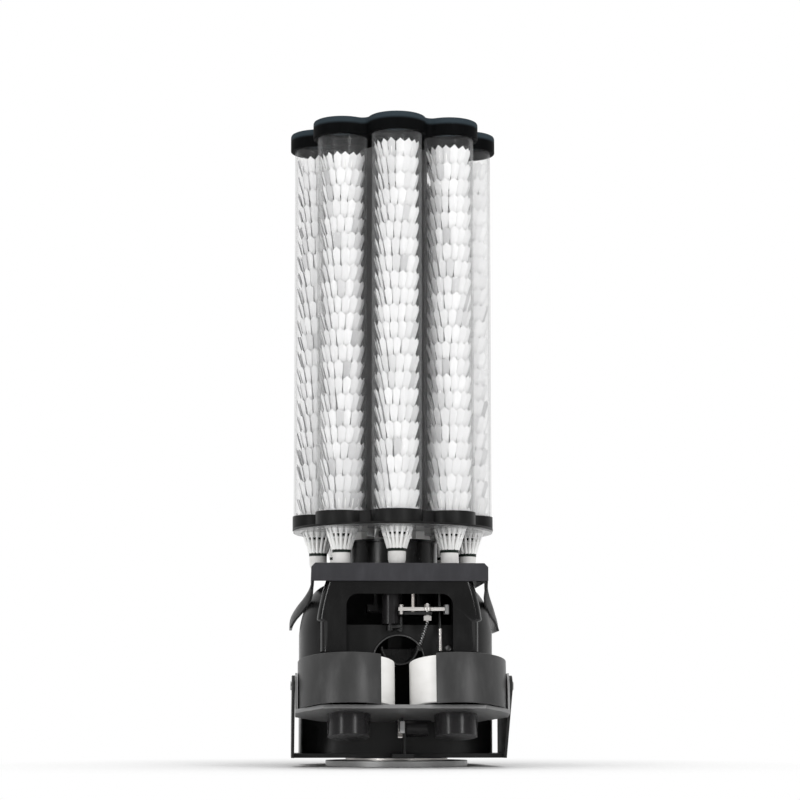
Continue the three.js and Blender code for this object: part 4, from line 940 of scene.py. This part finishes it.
def window_cutter(radius, low, front, rear, steps=40):
    bm = bmesh.new()
    foot = [bm.verts.new((radius, front, z)) for z in (low, WINDOW_CENTRE)]
    bm.edges.new(foot)
    arc = bmesh.ops.spin(bm, geom=[foot[1]], cent=(0, front, WINDOW_CENTRE), axis=(0, -1, 0), angle=math.pi,
                         steps=steps)
    end = [g for g in arc["geom_last"] if isinstance(g, bmesh.types.BMVert)][0]
    last = bm.verts.new((-radius, front, low))
    bm.edges.new((end, last))
    bm.edges.new((last, foot[0]))
    face = bmesh.ops.contextual_create(bm, geom=bm.edges[:])["faces"]
    grown = bmesh.ops.extrude_face_region(bm, geom=face)
    back = [v for v in grown["geom"] if isinstance(v, bmesh.types.BMVert)]
    bmesh.ops.translate(bm, vec=(0, rear - front, 0), verts=back)
    return bm


body_bm, roof = housing_body(0, BODY_LOW)
bmesh.ops.delete(body_bm, geom=roof, context="FACES_ONLY")
floor_face = max((f for f in body_bm.faces if abs(f.normal.z) > 0.9), key=lambda f: f.calc_area())
bmesh.ops.delete(body_bm, geom=[floor_face], context="FACES_ONLY")
bmesh.ops.recalc_face_normals(body_bm, faces=body_bm.faces)
bmesh.ops.solidify(body_bm, geom=body_bm.faces[:], thickness=3)
housing = finished(body_bm, "housing_shell", body_black, "head", ["rear_housing"], smooth=40)
cut_away(housing, window_cutter(36.8, 84, -62, -16))
cut_away(housing, block((-94, -61, 196), (94, 9, 262)))
round_edges(housing, 0.7, 2, 50)
print("housing", len(housing.data.polygons), "faces",
      [round(v / MM, 1) for v in housing.bound_box[0]])

# %% Wings against the housing
for side, sign, drop in (("left", -1, WING_DROP - 4), ("right", 1, WING_DROP)):
    cover = finished(wing(sign, drop), f"swept_wing_{side}", wing_black, "head", [f"side_wing_{side}"], smooth=50)
    cut_away(cover, housing_body(0.35, BODY_LOW, 12, 8)[0])
    round_edges(cover, 0.7, 2, 50)
print("wings done")

# %% [markdown]
# ## Bell
#
# The glossy bell is the piece that the eye goes to, and its highlights only look right on true curves. Its
# outline is drawn once and repeated in rows from the back to the front, where the last rows draw in along a
# quarter of a circle and round the rim. Joining the rows gives a closed solid. A smaller one hollows it. A
# wall made by thickening one surface crosses itself at the small step in the flank, and can't be cut.

# %% Bell outline
BELL_FRONT = -86
BELL_REAR = -21
BELL_LOW = 158
BELL_TOP = 276.7
BELL_ROUND = 10
BELL_STEPS = 10
BELL_WALL = 3
BELL_SHOULDER = 258


def bell_outline():
    half = [(109, BELL_LOW), (109, 198.4), (110.6, 199.4), (113.0, 200.6), (113.9, 201.8)]
    for i in range(25):
        t = i / 24
        half.append(((1 - t) ** 2 * 114 + 2 * t * (1 - t) * 111 + t * t * 101,
                     (1 - t) ** 2 * 203 + 2 * t * (1 - t) * 229 + t * t * BELL_SHOULDER))
    half += [(99.4, 263), (97, 269), (93, BELL_TOP)]
    return half + [(-x, z) for x, z in reversed(half)]


# %% Bell solid
def bell_solid(wall, rear, low):
    bm = bmesh.new()
    front = BELL_FRONT + wall
    corner = BELL_ROUND - wall
    rows = [(rear, wall), (front + corner, wall)]
    for step in range(1, BELL_STEPS + 1):
        turn = math.pi / 2 * step / BELL_STEPS
        rows.append((front + corner * (1 - math.sin(turn)), wall + corner * (1 - math.cos(turn))))
    loops = []
    for y, drawn_in in rows:
        verts = []
        for x, z in bell_outline():
            top = min(max((z - BELL_SHOULDER) / 18, 0), 1)
            height = low if z == BELL_LOW else z - top * drawn_in
            verts.append(bm.verts.new((x - math.copysign(drawn_in, x), y, height)))
        loops.append([bm.edges.new(pair) for pair in zip(verts, verts[1:] + verts[:1])])
    for behind, ahead in zip(loops, loops[1:]):
        bmesh.ops.bridge_loops(bm, edges=behind + ahead)
    for end in (loops[0], loops[-1]):
        bmesh.ops.contextual_create(bm, geom=end)
    return bm


# %% Arch
def arch_cutter(steps=16):
    bm = bmesh.new()
    low = [bm.verts.new((x, BELL_FRONT - 8, 130)) for x in (-73.7, 73.7)]
    high = [bm.verts.new((x, BELL_FRONT - 8, 237.6)) for x in (73.7, -73.7)]
    face = bm.faces.new(low + high)
    bmesh.ops.bevel(bm, geom=high, offset=16, affect="VERTICES", segments=steps, profile=0.5, material=-1)
    face = max(bm.faces, key=lambda f: f.calc_area())
    grown = bmesh.ops.extrude_face_region(bm, geom=[face])
    back = [v for v in grown["geom"] if isinstance(v, bmesh.types.BMVert)]
    bmesh.ops.translate(bm, vec=(0, 30, 0), verts=back)
    return bm


# %% Bell
bell = finished(bell_solid(0, BELL_REAR, BELL_LOW), "glossy_bell", bell_black, "head", ["front_shell"],
                smooth=40)
cut_away(bell, bell_solid(BELL_WALL, 20, BELL_LOW - 28))
cut_away(bell, arch_cutter())
cut_away(bell, housing_body(0.35, BODY_LOW, 12, 8)[0])
round_edges(bell, 0.9, 3, 50)
print("bell", len(bell.data.polygons), "faces", [round(v / MM, 1) for v in bell.bound_box[0]])

# %% [markdown]
# ## Feed window and trough
#
# A thin round-topped rim lines the window behind the wheels. The trough in it catches the shuttlecock and
# lets it slide, cork first, into the wheels.

# %% Window rim and trough
rim_bm = window_cutter(36.5, 84.3, -58, -50)
rim = finished(rim_bm, "window_rim", rim_steel, "head", ["feed_bezel"], smooth=40)
cut_away(rim, window_cutter(34.5, 70, -66, -40))
round_edges(rim, 0.5, 3, 50)
softened("feed_trough", feed_black, 0.5, smooth=40)

# %% Screws round the window
def pan_screw(x, z, y, radius, high):
    bm = turned([(0, 0), (radius, 0), (radius, high * 0.45), (radius * 0.72, high * 0.85), (0, high)], 28)
    slot = block((-radius, -0.35, high * 0.55), (radius, 0.35, high * 1.2))
    bmesh.ops.rotate(bm, cent=(0, 0, 0), matrix=Matrix.Rotation(math.radians(90), 3, "X"), verts=bm.verts)
    bmesh.ops.translate(bm, vec=(x, y, z), verts=bm.verts)
    bmesh.ops.rotate(slot, cent=(0, 0, 0), matrix=Matrix.Rotation(math.radians(90), 3, "X"), verts=slot.verts)
    bmesh.ops.translate(slot, vec=(x, y, z), verts=slot.verts)
    return bm, slot


for name, x, z, radius, high, look in (("round_screw", 2, 189.5, 4.6, 3.4, feed_black),
                                       ("domed_screw", 68.7, 163.5, 4.4, 4.2, alloy)):
    screw_bm, slot_bm = pan_screw(x, z, -55.9, radius, high)
    screw = finished(screw_bm, name, look, "head", smooth=40)
    cut_away(screw, slot_bm)
print("screws placed")

# %% [markdown]
# ## Feed linkage
#
# Bright bars and rods cross the arch. They are small, but they are the only bright things in the dark,
# so each gets rounded edges and brushed steel.

# %% Another finish on chosen faces
def recoloured(piece, material, chosen):
    slot = len(piece.data.materials)
    piece.data.materials.append(material)
    count = 0
    for face in piece.data.polygons:
        if chosen(face.center / MM, face.normal):
            face.material_index = slot
            count += 1
    print(piece.name, count, "faces in", material.name)


# %% Feed linkage
softened("feed_gearmotor", motor_black, 0.8, 3)
softened("feed_crank", dark_steel_and_painted_shade, 0.3)
# Painted shade: the stay bar is near-black steel below 213.2 mm and bright steel above, where light falls.
stay = softened("stay_bar", dark_steel_and_painted_shade, 0.3)
recoloured(stay, hanger_steel, lambda at, up: at.z > 213.2)
softened("rocker_bar", bar_steel, 0.4)
softened("pivot_block", bright_steel, 0.4)
softened("rocker_knob", knob_steel, 0.5)
# Painted shade: the guide rod is near-black steel behind y = -73 mm, inside the housing, and bright steel in
# front.
rod = softened("guide_rod", dark_steel_and_painted_shade, 0.4)
recoloured(rod, bright_steel, lambda at, up: at.y < -73)
softened("return_spring", spring_steel, 0, smooth=80)

# %% [markdown]
# ## Claws
#
# Under the drop hole, two jaws on a lifting carriage draw the lowest shuttlecock down.

# %% Claws
for node in ("claw_carrier", "claw_left", "claw_right"):
    softened(node, claw_black, 0.4)

# %% [markdown]
# ## Launcher
#
# Two foam wheels throw the shuttlecock. Each runs on its own motor through a hub, with a guard round its
# outer side, and the cradle carries both.

# %% Launcher frame
LAUNCH = Matrix.Translation((0, -140, 110)) @ Matrix.Rotation(math.radians(-10), 4, "X")
WHEEL_X = 72.1


def on_launcher(bm, x):
    bmesh.ops.translate(bm, vec=(x, 0, 0), verts=bm.verts)
    bmesh.ops.transform(bm, matrix=LAUNCH, verts=bm.verts)
    return bm


# %% Wheels
TYRE = [(55.8, -31.6), (58.6, -32), (60.4, -31.7), (61.6, -30.9), (62, -29.6), (62, 29.6), (61.6, 30.9),
        (60.4, 31.7), (58.6, 32), (55.8, 31.6)]
HUB = [(4.4, 12), (51.5, 12), (52, 11.5), (52, -31.6), (52.4, -32), (55.1, -32), (55.4, -31.6), (55.4, 19.4),
       (54.8, 20), (50, 20), (48.6, 18.4), (16, 18.4), (14.6, 20), (4.4, 20)]
for side, sign in (("left", -1), ("right", 1)):
    tyre_bm = on_launcher(turned(TYRE, 160), sign * WHEEL_X)
    finished(tyre_bm, f"foam_tyre_{side}", wheel_foam, f"wheel_{side}", [f"wheel_tyre_{side}"])
    hub = finished(on_launcher(turned(HUB, 96), sign * WHEEL_X), f"wheel_dish_{side}", hub_black,
                   f"wheel_{side}", [f"wheel_hub_{side}"])
    softened(f"wheel_motor_{side}", motor_black, 1.0, 3)

# %% Guards
GUARD = [(66.2, -34.7), (68.8, -34.7), (69, -34.4), (69, 32), (68.6, 32.8), (67.9, 33), (67.1, 33), (66.4, 32.8),
         (66, 32), (66, -34.4)]
for side, sign, front in (("left", -1, 53), ("right", 1, 64)):
    first, last = math.radians(62), FULL - math.radians(front)
    guard_bm = turned(GUARD, 120, angle=last - first)
    bmesh.ops.rotate(guard_bm, cent=(0, 0, 0), matrix=Matrix.Rotation(first, 3, "Z"), verts=guard_bm.verts)
    bmesh.ops.holes_fill(guard_bm, edges=guard_bm.edges, sides=0)
    turn = (-1 if sign > 0 else 1, 1, 1)
    bmesh.ops.scale(guard_bm, vec=turn, verts=guard_bm.verts)
    on_launcher(guard_bm, sign * WHEEL_X)
    finished(guard_bm, f"round_guard_{side}", guard_black, cad_nodes[f"wheel_guard_{side}"]["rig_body"],
             [f"wheel_guard_{side}"], 0.4)
softened("cradle", alloy, 0.4)
softened("pitch_pinion", bright_steel, 0.2)
softened("pitch_gearmotor", motor_black, 0.8, 3)

# %% Base
softened("chassis", chassis_black, 0.6)
softened("yaw_bearing", bright_steel, 0.4)
softened("base_flange", alloy, 0.6)

# %% [markdown]
# ## Stage and light
#
# A pale floor that fades into the white background, soft light from all round, and three large lamps
# that draw the edges of the black pieces.

# %% Floor
floor_bm = bmesh.new()
bmesh.ops.create_grid(floor_bm, x_segments=1, y_segments=1, size=4)
floor_mesh = bpy.data.meshes.new("floor")
floor_bm.to_mesh(floor_mesh)
floor_bm.free()
floor = bpy.data.objects.new("floor", floor_mesh)
floor.location = (0, 0, -0.0005)
scene.collection.objects.link(floor)
floor_finish = Finish("floor_pale")
distance = floor_finish.node("VectorMath", {"operation": "LENGTH"},
                             {0: floor_finish.node("TexCoord", out="Object")}, "Value")
fade = ((distance - 0.26) / 0.4).most(0).least(1)
soft = floor_finish.node("BsdfDiffuse", {}, {"Color": grey(0.86)})
white = floor_finish.node("Emission", {}, {"Color": grey(1), "Strength": 1.0})
seen = floor_finish.node("LightPath", out="Is Camera Ray")
both = floor_finish.node("MixShader", {}, {0: fade * seen, 1: soft, 2: white})
floor_finish.tree.links.new(both.socket, floor_finish.output.inputs["Surface"])
floor_mesh.materials.append(floor_finish.material)

# %% World
world = bpy.data.worlds.new("studio")
scene.world = world
world.use_nodes = True
tree = world.node_tree
tree.nodes.clear()
rays = tree.nodes.new("ShaderNodeLightPath")
way = tree.nodes.new("ShaderNodeTexCoord")
parts = tree.nodes.new("ShaderNodeSeparateXYZ")
tree.links.new(way.outputs["Generated"], parts.inputs[0])
behind = (Signal(tree, parts.outputs["Y"]) * 1.6 + 0.3).most(0).least(1)
seen_rays = Signal(tree, rays.outputs["Is Camera Ray"]).most(Signal(tree, rays.outputs["Is Transmission Ray"]))
mirrored = Signal(tree, rays.outputs["Is Glossy Ray"]) * (1 - seen_rays)
level = seen_rays + (1 - seen_rays) * (1 - mirrored) * 0.86 + mirrored * (behind * 0.65 + 0.3)
background = tree.nodes.new("ShaderNodeBackground")
background.inputs["Color"].default_value = (1, 1, 1, 1)
tree.links.new(level.socket, background.inputs["Strength"])
out = tree.nodes.new("ShaderNodeOutputWorld")
tree.links.new(background.outputs[0], out.inputs["Surface"])


# %% Lamps
def lamp(name, place, aim, size, power):
    data = bpy.data.lights.new(name, "AREA")
    data.shape = "RECTANGLE"
    data.size, data.size_y = size
    data.energy = power
    light = bpy.data.objects.new(name, data)
    light.location = place
    light.rotation_mode = "QUATERNION"
    light.rotation_quaternion = (Vector(aim) - Vector(place)).to_track_quat("-Z", "Y")
    scene.collection.objects.link(light)
    return light


lamp("front_right", (1.5, -2.6, 1.5), (0, 0, 0.5), (0.5, 1.5), 27)
lamp("front_left", (-1.9, -2.0, 0.9), (0, 0, 0.5), (0.35, 1.5), 16)
lamp("top", (0, -0.6, 2.6), (0, 0.1, 0.5), (1.4, 1.0), 8)
